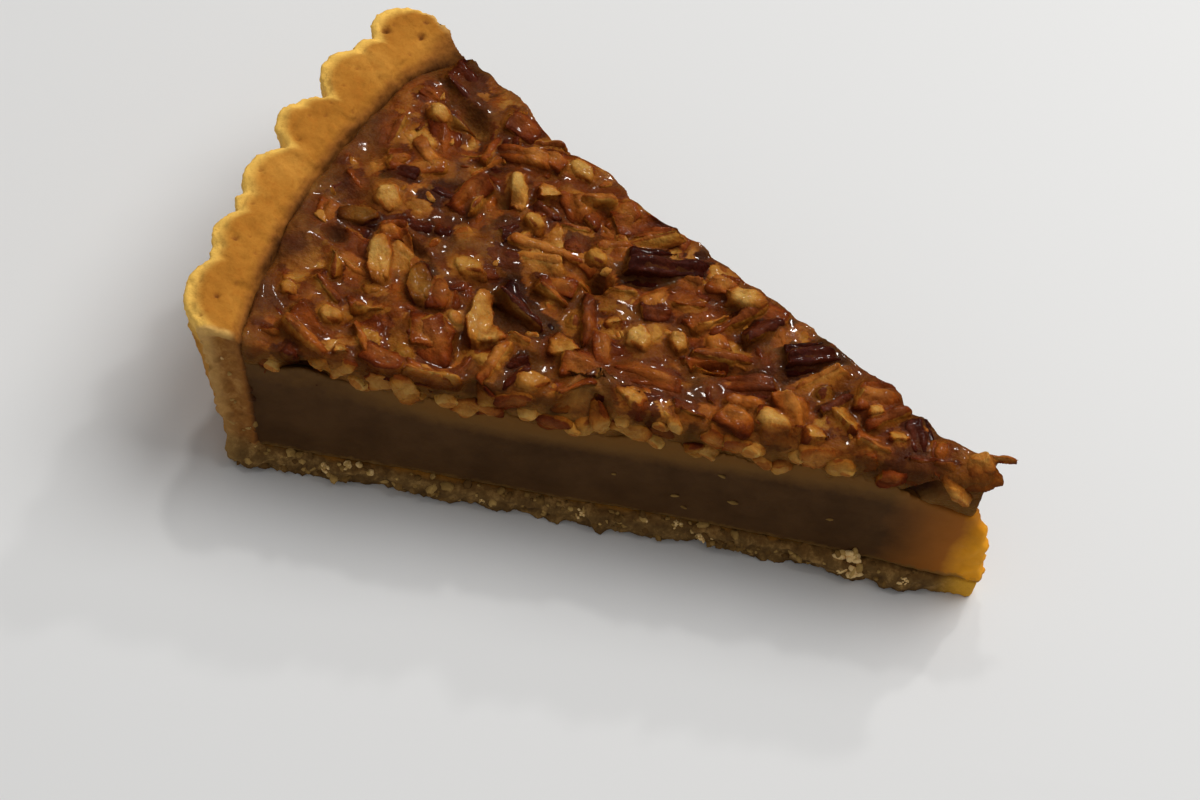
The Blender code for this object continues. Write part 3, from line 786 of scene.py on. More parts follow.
# Each kind: the cuts (a point in mm on the cut and the way that the waste lies), the turn that
# shows it, and how far it is rounded
chopped = {
    "ridge": ([((7.5, 0, 0), (1, 0.2, 0.15)), ((-7, 0, 0), (-1, 0.15, -0.1)), ((0, 7.4, 0), (0.1, 1, 0.1)),
               ((0, -6.8, 0), (0.1, -1, 0.1))], (0, 0), 2),
    "shoulder": ([((5, 0, 0), (1, -0.25, 0.2)), ((-7, 0, 0), (-1, -0.2, 0.1)),
                 ((0, -0.5, 0), (0.1, -1, 0.2))], (0, 0), 4),
    "end": ([((7, 0, 0), (-1, 0.2, -0.15)), ((0, -5, 0), (0.1, -1, 0.0))], (0, 0), 4),
    "sliver": ([((9, 0, 0), (1, 0.3, 0)), ((-10, 0, 0), (-1, 0.2, 0)), ((0, 3.2, 0), (0.05, -1, 0.25))],
               (0, 0), 4),
    "saddle": ([((4.5, 0, 0), (1, 0, -0.3)), ((-5.5, 0, 0), (-1, 0.3, 0.2)), ((0, 6.4, 0), (-0.2, 1, 0)),
                ((0, -2.5, 0), (0, -1, -0.2))], (0, 0), 5),
    "quarterCut": ([((5, 0, 0), (1, -0.25, 0.1)), ((-6, 0, 0), (-1, -0.2, 0.1)),
                    ((0, -0.5, 0), (0.15, -1, 0.1)), ((3.4, 0, 5.4), (1, 0.1, 1)),
                    ((-4, 0, 1.4), (-1, 0, -0.9))], (-90, 0), 12),
    "crossCut": ([((3.5, 0, 0), (1, 0.1, 0.1)), ((-4.5, 0, 0), (-1, 0.2, -0.15)), ((0, 5.5, 0), (0, 1, 0)),
                  ((0, -5.0, 4.0), (0, -1, 0.8))], (0, 90), 12),
    "levelCut": ([((5, 0, 0), (1, 0.2, 0.2)), ((-5, 0, 0), (-1, 0.3, 0.3)), ((0, 4.6, 0), (0, 1, 0.2)),
                  ((0, -4.4, 0), (0.2, -1, 0.3)), ((0, 0, 5.6), (0.2, 0.15, 1)), ((3.2, 3.0, 0), (1, 1, 0.2)),
                  ((-3.2, -3.0, 0), (-1, -0.8, 0.4))], (0, 0), 20),
    "lump": ([((5, 0, 0), (1, 0.2, 0.3)), ((-5, 0, 0), (-1, 0.3, 0.4)), ((0, 4.2, 0), (0, 1, 0.3)),
              ((0, -4.0, 0), (0.2, -1, 0.3)), ((3.0, 3.0, 0), (1, 1, 0.2)),
              ((-3.2, -3.0, 0), (-1, -0.8, 0.4)), ((3.6, -2.6, 0), (1, -1, 0.4))], (0, 0), 24),
    "innerFace": ([((6, 0, 0), (1, 0.2, 0)), ((-6, 0, 0), (-1, 0.1, 0)), ((0, 6, 0), (0, 1, 0)),
                   ((0, -4, 0), (0, -1, 0)), ((4.0, -2.6, 0), (1, -1, 0))], (180, 0), 9),
    "wedgeCut": ([((6, 0, 0), (1, 0.2, 0)), ((-5, 0, 0), (-1, -0.4, 0)), ((0, 1.0, 3), (0, -0.7, 0.8)),
                  ((0, 8.0, 0), (0, 1, 0.4)), ((-3.0, 6.0, 0), (-1, 0.8, 0))], (10, 0), 9),
}

chopPlan = {
    "askew": ((0.6, "X"), (0.5, "Y"), (0.7, "Z")), "skinDepth": (0.25 * mm, 0.6 * mm),
    "fleshRough": (3.6 * mm, 1.5 * mm), "rough": (1.6 * mm, 0.6 * mm),
    # Voxel, and share of the rounding
    "fine": (0.67 * mm, 1.2), "medium": (1.08 * mm, 0.6), "coarse": (2.6 * mm, 0.1),
}


def chop(half, cuts, turn, rounding, voxel, share):
    piece = copyOf(half, Matrix.Identity(4), "chopped")
    for spot, away in cuts:
        editing(piece)
        bpy.ops.mesh.select_all(action="SELECT")
        bpy.ops.mesh.bisect(plane_co=[v * mm for v in spot], plane_no=away, use_fill=True, clear_outer=True)
        doneEditing()
    # Turned askew while it is remeshed, which keeps steps out of the flat cuts
    first, second, third = [Matrix.Rotation(amount, 4, axis) for amount, axis in chopPlan["askew"]]
    askew = first @ second @ third
    piece.data.transform(askew)
    remesh(piece, voxel)
    piece.data.transform(askew.inverted())
    whole = BVHTree.FromObject(half, bpy.context.evaluated_depsgraph_get())
    start, depth = chopPlan["skinDepth"]
    skin = [1.0 - smooth((whole.find_nearest(v.co)[3] - start) / depth) for v in piece.data.vertices]
    setValues(piece, "skin", skin)
    group = piece.vertex_groups.new(name="flesh")
    for vert, amount in zip(piece.data.vertices, skin):
        group.add([vert.index], 1.0 - amount, "REPLACE")
    applyModifier(piece, "SMOOTH", factor=0.5, iterations=math.ceil(rounding * share))
    roughen(piece, *chopPlan["fleshRough"], "flesh")
    roughen(piece, *chopPlan["rough"])
    pick(piece)
    piece.rotation_euler = (math.radians(turn[0]), math.radians(turn[1]), 0.0)
    bpy.ops.object.transform_apply(location=False, rotation=True, scale=False)
    # To a box of size 1 round the origin, so that each piece can be given its own size
    low = Vector([min(v.co[axis] for v in piece.data.vertices) for axis in range(3)])
    high = Vector([max(v.co[axis] for v in piece.data.vertices) for axis in range(3)])
    middle = [(low[axis] + high[axis]) / 2 for axis in range(3)]
    for vert in piece.data.vertices:
        vert.co = Vector([(vert.co[axis] - middle[axis]) / (high[axis] - low[axis]) for axis in range(3)])
    return piece


skinKinds = ("ridge", "shoulder", "end", "sliver", "saddle")
cutKinds = ("quarterCut", "crossCut", "levelCut", "innerFace", "wedgeCut", "lump")

# Where the larger pieces lie, in mm from the tart's axis: toward the point, toward the far cut,
# length, width, turn, tone from dark (0) to light (1), kind, and how far it is lifted
darkPecans = [
    (-67.5, 13.2, 19.0, 8.0, 32, 0.04, "ridge", 0.2),
    (-38.5, 7.5, 12.0, 6.5, 45, 0.05, "ridge", 0.3),
    (-16.6, 2.4, 7.4, 6.4, 118, 0.10, "ridge", -0.8),
    (-85.5, -9.2, 14.0, 9.5, -22, 0.10, "shoulder", 0.7),
    (-115.5, 32.0, 14.5, 8.0, -27, 0.22, "shoulder", 0.2),
    (-109.0, 7.5, 9.0, 6.0, 0, 0.10, "saddle", 0.0),
    (-111.0, -1.0, 12.5, 7.5, 22, 0.12, "end", 0.0),
    (-31.0, 0.0, 8.0, 3.5, 65, 0.18, "sliver", 0.0),
    (-81.0, -23.0, 9.0, 6.5, 65, 0.12, "shoulder", 0.7),
    (-118.0, 8.0, 7.0, 4.0, 10, 0.08, "saddle", -0.5),
    (-48.0, 8.5, 10.0, 3.5, 60, 0.15, "sliver", 0.0),
    (-100.0, 16.5, 9.0, 5.0, 30, 0.05, "shoulder", -1.2),
    (-96.0, 6.0, 8.0, 5.0, 60, 0.08, "saddle", -0.8),
]
redPecans = [
    (-124.3, 16.5, 11.0, 6.6, 86, 0.42, "shoulder", 0.2),
    (-112.5, 16.2, 13.5, 7.0, -62, 0.45, "end", 0.2),
    (-99.5, 21.8, 11.0, 7.5, 8, 0.62, "ridge", 0.8),
    (-87.0, 18.0, 9.5, 7.6, -50, 0.62, "saddle", 0.4),
    (-60.5, -10.5, 14.0, 7.2, 12, 0.48, "ridge", 0.2),
    (-57.2, 5.5, 10.5, 5.6, 52, 0.66, "shoulder", 0.5),
    (-34.8, -6.4, 12.0, 6.4, -45, 0.72, "end", 0.6),
    (-26.2, 6.0, 9.5, 6.8, 22, 0.60, "saddle", 0.9),
    (-22.5, 2.0, 9.0, 4.0, 55, 0.40, "sliver", 0.0),
    (-21.5, -6.0, 9.0, 5.5, 10, 0.66, "shoulder", 0.0),
    (-75.0, -5.5, 11.5, 4.8, -68, 0.38, "sliver", 0.5),
    (-113.4, -33.0, 13.5, 9.0, -20, 0.62, "shoulder", 1.3),
    (-104.8, -27.6, 10.0, 7.2, -50, 0.58, "shoulder", 0.2),
    (-123.6, -6.5, 8.5, 5.6, -78, 0.62, "saddle", 0.2),
    (-45.0, -12.0, 7.5, 6.5, 0, 0.60, "saddle", 0.0),
    (-52.0, -0.5, 11.0, 3.5, 22, 0.45, "sliver", 0.0),
    (-45.5, -3.6, 12.5, 7.0, 20, 0.30, "ridge", 0.0),
    (-94.0, -32.5, 6.0, 6.0, 0, 0.65, "saddle", 0.0),
    (-53.0, 8.0, 12.0, 4.0, 60, 0.35, "sliver", 0.2),
    (-58.0, 14.4, 5.6, 5.6, 0, 0.70, "saddle", 0.9),
    (-121.0, 27.0, 6.0, 5.0, 0, 0.45, "end", 0.0),
    (-120.0, 10.0, 6.0, 5.0, 40, 0.55, "saddle", 0.0),
    (-88.0, 5.0, 14.0, 4.0, 10, 0.68, "sliver", 0.0),
    (-84.0, -25.0, 10.0, 3.8, 85, 0.62, "sliver", 0.2),
    (-82.6, -3.4, 9.0, 5.0, -8, 0.50, "shoulder", 0.2),
    (-84.3, 21.4, 8.8, 8.0, 20, 0.64, "shoulder", 1.2),
    (-73.5, 18.0, 9.0, 4.6, 30, 0.45, "shoulder", 1.0),
    (-96.5, 24.0, 8.0, 6.0, -10, 0.52, "saddle", 0.8),
    (-53.5, -3.5, 9.0, 5.5, 30, 0.58, "shoulder", 0.3),
    (-73.0, 4.0, 8.0, 5.5, 20, 0.55, "shoulder", 0.1),
    (-70.5, -9.0, 8.0, 4.5, -60, 0.56, "saddle", 0.1),
    (-92.5, -33.6, 9.0, 5.0, 0, 0.68, "shoulder", 0.6),
    (-109.0, -21.5, 8.0, 6.0, 30, 0.60, "shoulder", -0.1),
    (-113.0, -5.5, 6.0, 5.0, 30, 0.62, "saddle", -0.1),
    (-2.4, 4.4, 6.0, 1.5, 22, 0.62, "sliver", -0.5),
    (-86.0, 12.5, 8.0, 5.0, 20, 0.55, "shoulder", -0.5),
    (-62.0, 8.0, 8.0, 5.0, 20, 0.52, "shoulder", -0.4),
    (-99.0, -13.0, 8.0, 6.0, -60, 0.55, "saddle", -0.3),
    (-116.0, -22.0, 9.0, 5.0, -30, 0.40, "shoulder", -0.4),
    (-70.0, -21.0, 9.0, 5.0, 20, 0.55, "shoulder", -0.2),
    (-52.0, -13.5, 8.0, 5.0, 15, 0.32, "shoulder", -0.1),
]
palePecans = [
    (-117.2, 1.0, 8.5, 6.2, -35, 0.85, "levelCut", 0.4),
    (-111.3, -12.2, 11.5, 5.6, -50, 0.85, "quarterCut", 0.5),
    (-118.0, -17.0, 8.0, 3.5, -65, 0.45, "wedgeCut", 0.0),
    (-97.6, 13.2, 9.5, 5.0, -40, 0.95, "quarterCut", 0.6),
    (-92.5, 9.0, 6.0, 4.0, -30, 0.60, "levelCut", 0.1),
    (-93.0, 16.0, 5.0, 3.4, 10, 0.70, "crossCut", 0.0),
    (-91.5, 24.2, 8.5, 5.4, 0, 0.62, "innerFace", 0.2),
    (-77.8, 18.0, 8.5, 7.0, 40, 0.50, "innerFace", 0.1),
    (-73.0, 15.5, 14.0, 3.0, 35, 0.55, "wedgeCut", 0.3),
    (-80.0, 7.5, 6.0, 5.0, 0, 0.50, "levelCut", 0.0),
    (-88.0, 1.2, 11.0, 4.6, 10, 0.85, "wedgeCut", 0.4),
    (-5.2, 1.4, 10.0, 8.0, 10, 0.78, "lump", 1.3),
    (-118.0, 22.4, 6.0, 4.0, -20, 0.70, "levelCut", 0.2),
    (-90.6, 24.2, 8.4, 4.6, -12, 0.78, "levelCut", 1.2),
    (-79.2, 18.6, 8.0, 6.0, 70, 0.58, "innerFace", 0.8),
    (-97.0, -22.0, 9.0, 8.0, 20, 0.58, "innerFace", 0.2),
    (-88.4, -17.6, 6.6, 5.4, 0, 0.70, "crossCut", 0.2),
    (-113.6, -27.6, 6.0, 5.4, 20, 0.66, "levelCut", 0.2),
    (-105.8, -27.8, 7.4, 5.8, 20, 0.58, "levelCut", 0.1),
    (-98.2, -5.8, 8.0, 6.0, 20, 0.60, "levelCut", 0.1),
    (-91.0, -15.4, 14.0, 6.6, -57, 0.72, "quarterCut", 0.4),
    (-96.0, -23.2, 11.0, 8.0, -40, 0.45, "innerFace", 0.3),
    (-77.0, -25.0, 8.5, 5.6, 50, 0.55, "levelCut", 0.2),
    (-71.8, -15.0, 10.0, 8.0, 10, 0.55, "innerFace", 0.2),
    (-76.0, -13.0, 6.0, 5.0, 0, 0.60, "crossCut", 0.1),
    (-66.0, -4.6, 8.0, 6.4, -20, 1.00, "levelCut", 0.7),
    (-71.0, -3.5, 3.4, 3.2, 0, 0.65, "crossCut", 0.1),
    (-60.0, -1.5, 6.0, 4.5, -40, 0.70, "levelCut", 0.2),
    (-53.6, 12.6, 8.0, 6.0, 60, 0.85, "quarterCut", 0.9),
    (-35.4, 3.2, 13.0, 4.6, 57, 0.70, "wedgeCut", 0.3),
    (-28.6, -2.6, 7.5, 5.8, -60, 0.55, "crossCut", 0.2),
    (-38.4, -11.6, 9.0, 5.8, 15, 0.80, "levelCut", 0.6),
    (-61.0, -17.8, 6.5, 5.4, -60, 0.62, "crossCut", 0.1),
    (-104.8, 8.6, 10.5, 5.4, 80, 0.45, "innerFace", 0.1),
    (-102.5, 8.0, 9.0, 2.5, 85, 0.50, "wedgeCut", 0.2),
    (-119.0, 24.0, 5.5, 3.5, -20, 0.60, "levelCut", 0.2),
    (-103.2, -14.0, 10.5, 5.8, -45, 0.22, "quarterCut", 0.1),
    (-100.4, -34.4, 9.0, 5.6, -8, 0.50, "innerFace", 0.1),
    (-89.0, -33.0, 7.0, 5.0, 0, 0.55, "levelCut", 0.0),
    (-100.0, -31.0, 5.0, 4.0, 0, 0.50, "crossCut", 0.0),
    (-122.5, -25.0, 5.0, 4.0, 0, 0.50, "levelCut", 0.0),
    (-122.0, -14.0, 5.0, 2.8, 0, 0.40, "wedgeCut", -0.1),
    (-104.0, 29.5, 8.0, 6.0, 0, 0.42, "innerFace", 0.0),
    (-108.0, -33.0, 3.0, 2.6, 0, 0.85, "crossCut", 0.6),
    (-19.0, -1.0, 4.0, 3.0, 0, 0.60, "crossCut", 0.1),
    (-24.5, 1.5, 3.0, 3.0, 0, 0.75, "crossCut", 0.3),
    (-83.5, -15.5, 5.0, 2.8, 0, 0.60, "wedgeCut", 0.0),
    (-31.0, -10.0, 5.0, 4.0, 10, 0.65, "crossCut", 0.1),
    (-66.0, 2.0, 6.0, 4.0, 30, 0.30, "innerFace", -0.3),
]
# Pieces that the knife met in the near cut: distance from the axis, height, length, height of the
# piece, turn in the face, tone and kind
nearCutPecans = [
    (124.4, 28.2, 9.0, 6.6, -50, 0.56, "lump"),
    (117.0, 29.4, 6.5, 4.4, -20, 0.30, "lump"),
    (109.5, 27.6, 9.6, 7.0, -25, 0.60, "lump"),
    (101.0, 29.0, 7.5, 6.0, -10, 0.42, "quarterCut"),
    (94.6, 27.6, 8.8, 6.6, -15, 0.62, "lump"),
    (87.5, 27.6, 7.0, 5.0, 10, 0.30, "saddle"),
    (80.5, 27.6, 9.6, 6.6, 20, 0.55, "lump"),
    (73.0, 26.2, 6.5, 4.0, 10, 0.40, "lump"),
    (64.5, 29.6, 6.6, 6.2, 30, 0.72, "lump"),
    (58.5, 26.4, 8.5, 5.0, -25, 0.55, "lump"),
    (50.0, 26.4, 8.0, 5.4, -40, 0.58, "lump"),
    (42.5, 28.8, 7.5, 6.0, 0, 0.60, "lump"),
    (35.0, 29.5, 7.5, 6.6, 30, 0.52, "lump"),
    (27.5, 28.8, 7.0, 5.0, 0, 0.32, "lump"),
    (21.0, 29.6, 6.0, 4.6, 10, 0.10, "saddle"),
    (10.0, 28.6, 11.5, 4.8, -41, 0.42, "lump"),
]

heapPlan = {
    "overhang": (-0.5 * mm, 0.4 * mm), "tilt": 17.0, "shift": 3.5 * mm, "pressed": 0.9, "wallGap": 0.1 * mm,
    "wornSkin": (0.6 * mm, 0.8 * mm), "highest": 35.6 * mm, "overHighest": 0.25,
    "heartAside": 0.15, "heartHeight": 0.4, "toneSpread": (0.12, 0.55), "toneMiddle": 0.30,
    "sunkOver": 2.6 * mm, "soakedRim": (0.26, 0.24, 0.5), "lowerFrom": 1.2 * mm,
    "variety": ((6.0 * mm, 1.8 * mm), (2.2 * mm, 0.35 * mm)),
}
rowPlan = {"height": (0.9, 1.1), "lift": (-0.9, 0.1)}
nearCutPlan = {
    "out": (1.0, 1.7), "outAtPoint": 1.3, "pointStart": 8.0, "pointReach": 10.0, "depth": (5.5, 7.0),
    "overhang": 2.5, "overhangAtPoint": 3.2, "pointEnd": 12.0,
    "paler": 0.28, "browner": 0.55, "cleaner": 0.15,
}
cutFillPlan = {
    "count": 24, "ends": (26.0, 119.0), "out": (-0.5, 0.2), "length": (4.5, 8.0), "width": (0.55, 0.75),
    "depth": 4.5 * mm, "tone": (0.42, 0.82), "turn": (-40, 40), "overhang": 0.4 * mm,
}
smallPlan = {
    "count": 92, "spacing": 4.4, "closer": 0.992, "tries": 500, "radius": 127.5, "nearest": 0.004,
    "room": 1.7, "length": (6.0, 10.6), "width": (0.5, 0.8), "height": 0.9, "down": (0.7, 2.0),
    "tones": (0.25, 0.4, 0.5, 0.6, 0.68), "toneShift": (-0.06, 0.06),
}
lowerPlan = {
    "spacing": 7.0 * mm, "start": 6.0 * mm, "end": 127.0 * mm, "rowStep": 0.9, "aside": (-0.3, 0.3),
    "along": (0.2, 0.8), "length": (6.0, 10.0), "width": (0.6, 0.85), "height": 5.0 * mm, "down": (1.5, 3.0),
    "tones": (0.3, 0.45, 0.6, 0.7), "toneShift": (-0.06, 0.06),
}

# The topping's uneven far edge, in mm: distance from the point and how far it stands out
farEdge = [
    (0, 1.3), (6, 1.7), (10, 0.5), (13, 0.0), (16, 1.4), (20, -0.2), (22, 1.3), (25, 1.4),
    (30, 0.6), (36, 1.0), (41, 1.0), (45, 0.7), (51, 0.5), (55, -0.8), (60, 0.3), (65, 0.0),
    (70, -1.7), (75, -3.2), (80, -2.8), (83, -1.1), (86, -1.2), (90, -2.3), (95, -3.0), (100, -2.7),
    (106, -0.7), (110, -0.3), (116, 0.4), (122, 1.0), (130, 0.0),
]


def farLine(x):
    for (start, out), (end, outNext) in zip(farEdge, farEdge[1:]):
        if start * mm <= -x < end * mm:
            return mix(out, outNext, smooth((-x / mm - start) / (end - start))) * mm
    return 0.0


def toppingEdge(side, x):
    # How far past a cut the topping reaches: the far side leans out at the point and lies back further up
    pushed = fillingPush(0.8) * tipFade(-x) * math.sin(halfAngle)
    if side < 0.0:
        return pushed
    return pushed + farLine(x) + tart["tipDrift"] * smooth(1.0 + x / tart["driftReach"]) * math.cos(halfAngle)


def topAt(x, y):
    top = tart["nutTop"] if math.hypot(x, y) < tart["rimInner"] - tart["nearRim"] else tart["nutTopAtRim"]
    fromFarCut = toppingEdge(1.0, x) - outOfCut(Vector((x, y, 0.0)), 1.0)
    return top - tart["farFall"] * (1.0 - smooth(fromFarCut / tart["farFallReach"]))


def keepInSlice(nut, overhang):
    # Moves a piece in from the wall and the knife's cuts, then presses back what still stands past them
    plan = heapPlan
    place = nut.matrix_world.copy()
    points = [place @ vert.co for vert in nut.data.vertices]
    past = max(math.hypot(spot.x, spot.y) - wallInner(spot.z / tart["rimHeight"], 0.0) for spot in points)
    middle = Vector((place.translation.x, place.translation.y, 0.0)).normalized()
    shift = middle * -min(max(past, 0.0), plan["shift"])
    for side in (-1.0, 1.0):
        past = max(outOfCut(spot, side) - toppingEdge(side, spot.x) for spot in points) - overhang
        shift += outward(side) * -min(max(past, 0.0), plan["shift"])
    place.translation += shift
    nut.matrix_world = place
    back = place.inverted()
    skin = nut.data.attributes["skin"].data
    wornStart, wornWidth = plan["wornSkin"]
    for vert in nut.data.vertices:
        spot = place @ vert.co
        for side in (-1.0, 1.0):
            past = outOfCut(spot, side) - overhang - toppingEdge(side, spot.x)
            if past > 0.0:
                spot += outward(side) * -(past * plan["pressed"])
                skin[vert.index].value *= 1.0 - smooth((past - wornStart) / wornWidth)
        radius, angle = roundAxis(spot)
        wall = wallInner(min(spot.z / tart["rimHeight"], 1.0), angle) - plan["wallGap"]
        if radius > wall:
            spot.x *= wall / radius
            spot.y *= wall / radius
        if spot.z > plan["highest"]:
            spot.z = plan["highest"] + plan["overHighest"] * (spot.z - plan["highest"])
        vert.co = back @ spot


def soakedAt(nut, place, spot, facing, lower):
    # How deep in the glaze each point of a piece lies, more so round its rim
    up = facing.to_3x3() @ Vector((0.0, 0.0, 1.0))
    start, width, amount = heapPlan["soakedRim"]
    depths = []
    for vert in nut.data.vertices:
        deep = ((spot - place @ vert.co).dot(up) + lower) / heapPlan["sunkOver"]
        depths.append(deep + amount * smooth((math.hypot(vert.co.x, vert.co.y) - start) / width))
    return depths


def layPecan(kinds, kind, spot, size, turn, tone, draw, upward=None, overhang=None):
    # spot is the middle of the piece's shown face
    tilt, aside = heapPlan["tilt"], heapPlan["heartAside"]
    lean = Matrix.Rotation(math.radians(draw.uniform(-tilt, tilt)), 4, "X")
    lean = lean @ Matrix.Rotation(math.radians(draw.uniform(-tilt, tilt)), 4, "Y")
    facing = upward or Matrix.Identity(4)
    below = Matrix.Translation((0.0, 0.0, -size[2] * 0.5))
    turned = Matrix.Rotation(math.radians(turn), 4, "Z")
    place = Matrix.Translation(spot) @ facing @ below @ turned @ lean @ Matrix.Diagonal((*size, 1.0))
    nut = copyOf(kinds[kind], place, "pecan")
    # Lightest at its heart
    heart = Vector((draw.uniform(-aside, aside), draw.uniform(-aside, aside), heapPlan["heartHeight"]))
    least, more = heapPlan["toneSpread"]
    spread, middle = least + more * tone, heapPlan["toneMiddle"]
    tones = [tone + spread * (middle - (vert.co - heart).length) for vert in nut.data.vertices]
    setValues(nut, "tone", tones)
    keepInSlice(nut, draw.uniform(*heapPlan["overhang"]) if overhang is None else overhang)
    lower = max(topAt(spot.x, spot.y) - heapPlan["lowerFrom"] - spot.z, 0.0) if upward is None else 0.0
    setValues(nut, "sunk", soakedAt(nut, place, spot, facing, lower))
    return nut


def layRows(kinds, rows, grow, draw):
    nuts = []
    for x, y, length, width, turn, tone, kind, lift in rows:
        length, width = length * grow, width * grow
        height = min(length, width) * draw.uniform(*rowPlan["height"])
        top = topAt(x * mm, y * mm) + lift * mm + draw.uniform(*rowPlan["lift"]) * mm
        size = (length * mm, width * mm, height * mm)
        nuts.append(layPecan(kinds, kind, Vector((x * mm, y * mm, top)), size, turn, tone, draw))
    return nuts


def cutSide(side):
    # Along a cut from the axis, out of it, and the turn that faces a piece out of it
    along = Vector((-math.cos(halfAngle), side * math.sin(halfAngle), 0.0))
    facing = Matrix((side * along, Vector((0.0, 0.0, 1.0)), outward(side))).transposed().to_4x4()
    return along, outward(side), facing


def layNearCut(kinds, draw):
    plan = nearCutPlan
    along, out, facing = cutSide(-1.0)
    nuts = []
    for radius, height, length, width, turn, tone, kind in nearCutPecans:
        toPoint = 1.0 - smooth((radius - plan["pointStart"]) / plan["pointReach"])
        past = draw.uniform(*plan["out"]) + plan["outAtPoint"] * toPoint
        spot = along * radius * mm + Vector((0.0, 0.0, height * mm)) + out * past * mm
        spot.x += fillingPush(0.8) * tipFade(radius * mm)
        size = (length * mm, width * mm, draw.uniform(*plan["depth"]) * mm)
        overhang = plan["overhangAtPoint" if radius < plan["pointEnd"] else "overhang"] * mm
        nut = layPecan(kinds, kind, spot, size, turn, tone + plan["paler"], draw, facing, overhang)
        # Browner toward the filling
        sunk = nut.data.attributes["sunk"].data
        for vert in nut.data.vertices:
            below = (nut.matrix_world @ vert.co).z - spot.z
            sunk[vert.index].value += plan["browner"] * smooth(-below / (0.5 * size[1])) - plan["cleaner"]
        nuts.append(nut)
    return nuts


def layCutFill(kinds, side, low, high, out, draw):
    # Smaller cut pieces all along a cut
    plan = cutFillPlan
    along, away, facing = cutSide(side)
    nuts = []
    for index in range(plan["count"]):
        radius = mix(*plan["ends"], (index + draw.uniform(0.1, 0.9)) / plan["count"])
        height = draw.uniform(low, high) * mm
        past = draw.uniform(*plan["out"]) * mm + out
        spot = along * radius * mm + Vector((0.0, 0.0, height)) + away * past
        spot += away * toppingEdge(side, spot.x)
        length = draw.uniform(*plan["length"]) * mm
        size = (length, length * draw.uniform(*plan["width"]), plan["depth"])
        kind = draw.choice(cutKinds)
        tone = draw.uniform(*plan["tone"])
        turn = draw.uniform(*plan["turn"])
        nuts.append(layPecan(kinds, kind, spot, size, turn, tone, draw, facing, out + plan["overhang"]))
    return nuts


def laySmall(kinds, draw):
    # Smaller pieces in the room that the larger ones leave
    plan = smallPlan
    taken = []
    for x, y, length, width, turn, *rest in darkPecans + redPecans + palePecans:
        reach = Vector((math.cos(math.radians(turn)), math.sin(math.radians(turn)))) * length * 0.25
        taken += [(Vector((x, y)) + reach, width * 0.45), (Vector((x, y)) - reach, width * 0.45)]
    nuts = []
    for index in range(plan["count"]):
        spacing = plan["spacing"]
        for attempt in range(plan["tries"]):
            radius = plan["radius"] * math.sqrt(draw.uniform(plan["nearest"], 1.0))
            spot = polar(radius, draw.uniform(-halfAngle, halfAngle), 0.0).to_2d()
            if all((spot - other).length > room + spacing * 0.5 for other, room in taken):
                break
            spacing *= plan["closer"]
        taken.append((spot, plan["room"]))
        length = draw.uniform(*plan["length"])
        width = length * draw.uniform(*plan["width"])
        kind = draw.choice(skinKinds + cutKinds)
        tone = draw.choice(plan["tones"]) + draw.uniform(*plan["toneShift"])
        top = topAt(*(spot * mm)) - draw.uniform(*plan["down"]) * mm
        place = Vector((*(spot * mm), top))
        size = (length * mm, width * mm, width * plan["height"] * mm)
        nuts.append(layPecan(kinds, kind, place, size, draw.uniform(0, 180), tone, draw))
    return nuts


def layLower(kinds, draw):
    # A lower layer all over, which shows in the gaps of the upper one
    plan = lowerPlan
    spacing = plan["spacing"]
    nuts = []
    radius = plan["start"]
    while radius < plan["end"]:
        count = max(1, round(2.0 * halfAngle * radius / spacing))
        for index in range(count):
            angle = mix(-halfAngle, halfAngle, (index + draw.uniform(*plan["along"])) / count)
            spot = polar(radius + draw.uniform(*plan["aside"]) * spacing, angle, 0.0)
            spot.z = topAt(spot.x, spot.y) - draw.uniform(*plan["down"]) * mm
            length = draw.uniform(*plan["length"]) * mm
            size = (length, length * draw.uniform(*plan["width"]), plan["height"])
            tone = draw.choice(plan["tones"]) + draw.uniform(*plan["toneShift"])
            kind = draw.choice(skinKinds + cutKinds)
            nuts.append(layPecan(kinds, kind, spot, size, draw.uniform(0, 180), tone, draw))
        radius += spacing * plan["rowStep"]
    return nuts


# Hollows between the nuts, pressed in and painted darker as shade, in mm: toward the point, toward the far
# cut, length, width, turn, depth
hollows = [
    (-77.2, 3.2, 5.0, 3.8, 10, 5.0), (-121.0, -11.0, 5.0, 4.0, 0, 2.5), (-112.0, 25.0, 10.0, 4.5, -30, 3.0),
    (-108.5, -6.0, 10.0, 2.5, -24, 2.5), (-52.0, -3.5, 8.0, 2.5, 25, 2.5), (-98.5, 11.0, 5.0, 3.5, 20, 2.5),
]
# Pools of dark glaze, in mm: toward the point, toward the far cut, reach and depth
pools = [
    (-125, 1, 8, 1.0), (-125, 9, 6, 0.6), (-125, -8, 7, 0.9), (-125, -17, 7, 0.9), (-123, -28, 7, 0.8),
    (-120, -10, 6, 0.6), (-104, 21, 6, 0.8), (-105, 14, 6, 0.5), (-103, 5, 7, 0.8), (-105, -4, 8, 0.9),
    (-112, -6, 5, 0.6), (-98, -12, 5, 0.4), (-85, -11, 8, 0.8), (-82, -23, 5, 0.8), (-88, 10, 4, 0.6),
    (-62, -12, 6, 0.5), (-53, -8, 7, 0.5), (-43, -9, 5, 0.5), (-44, 4, 7, 0.6), (-48, 12, 5, 0.4),
    (-106, -34, 5, 0.7), (-114, 31, 6, 0.6), (-17, -5, 7, 1.0), (-12, -2, 5, 1.0),
]
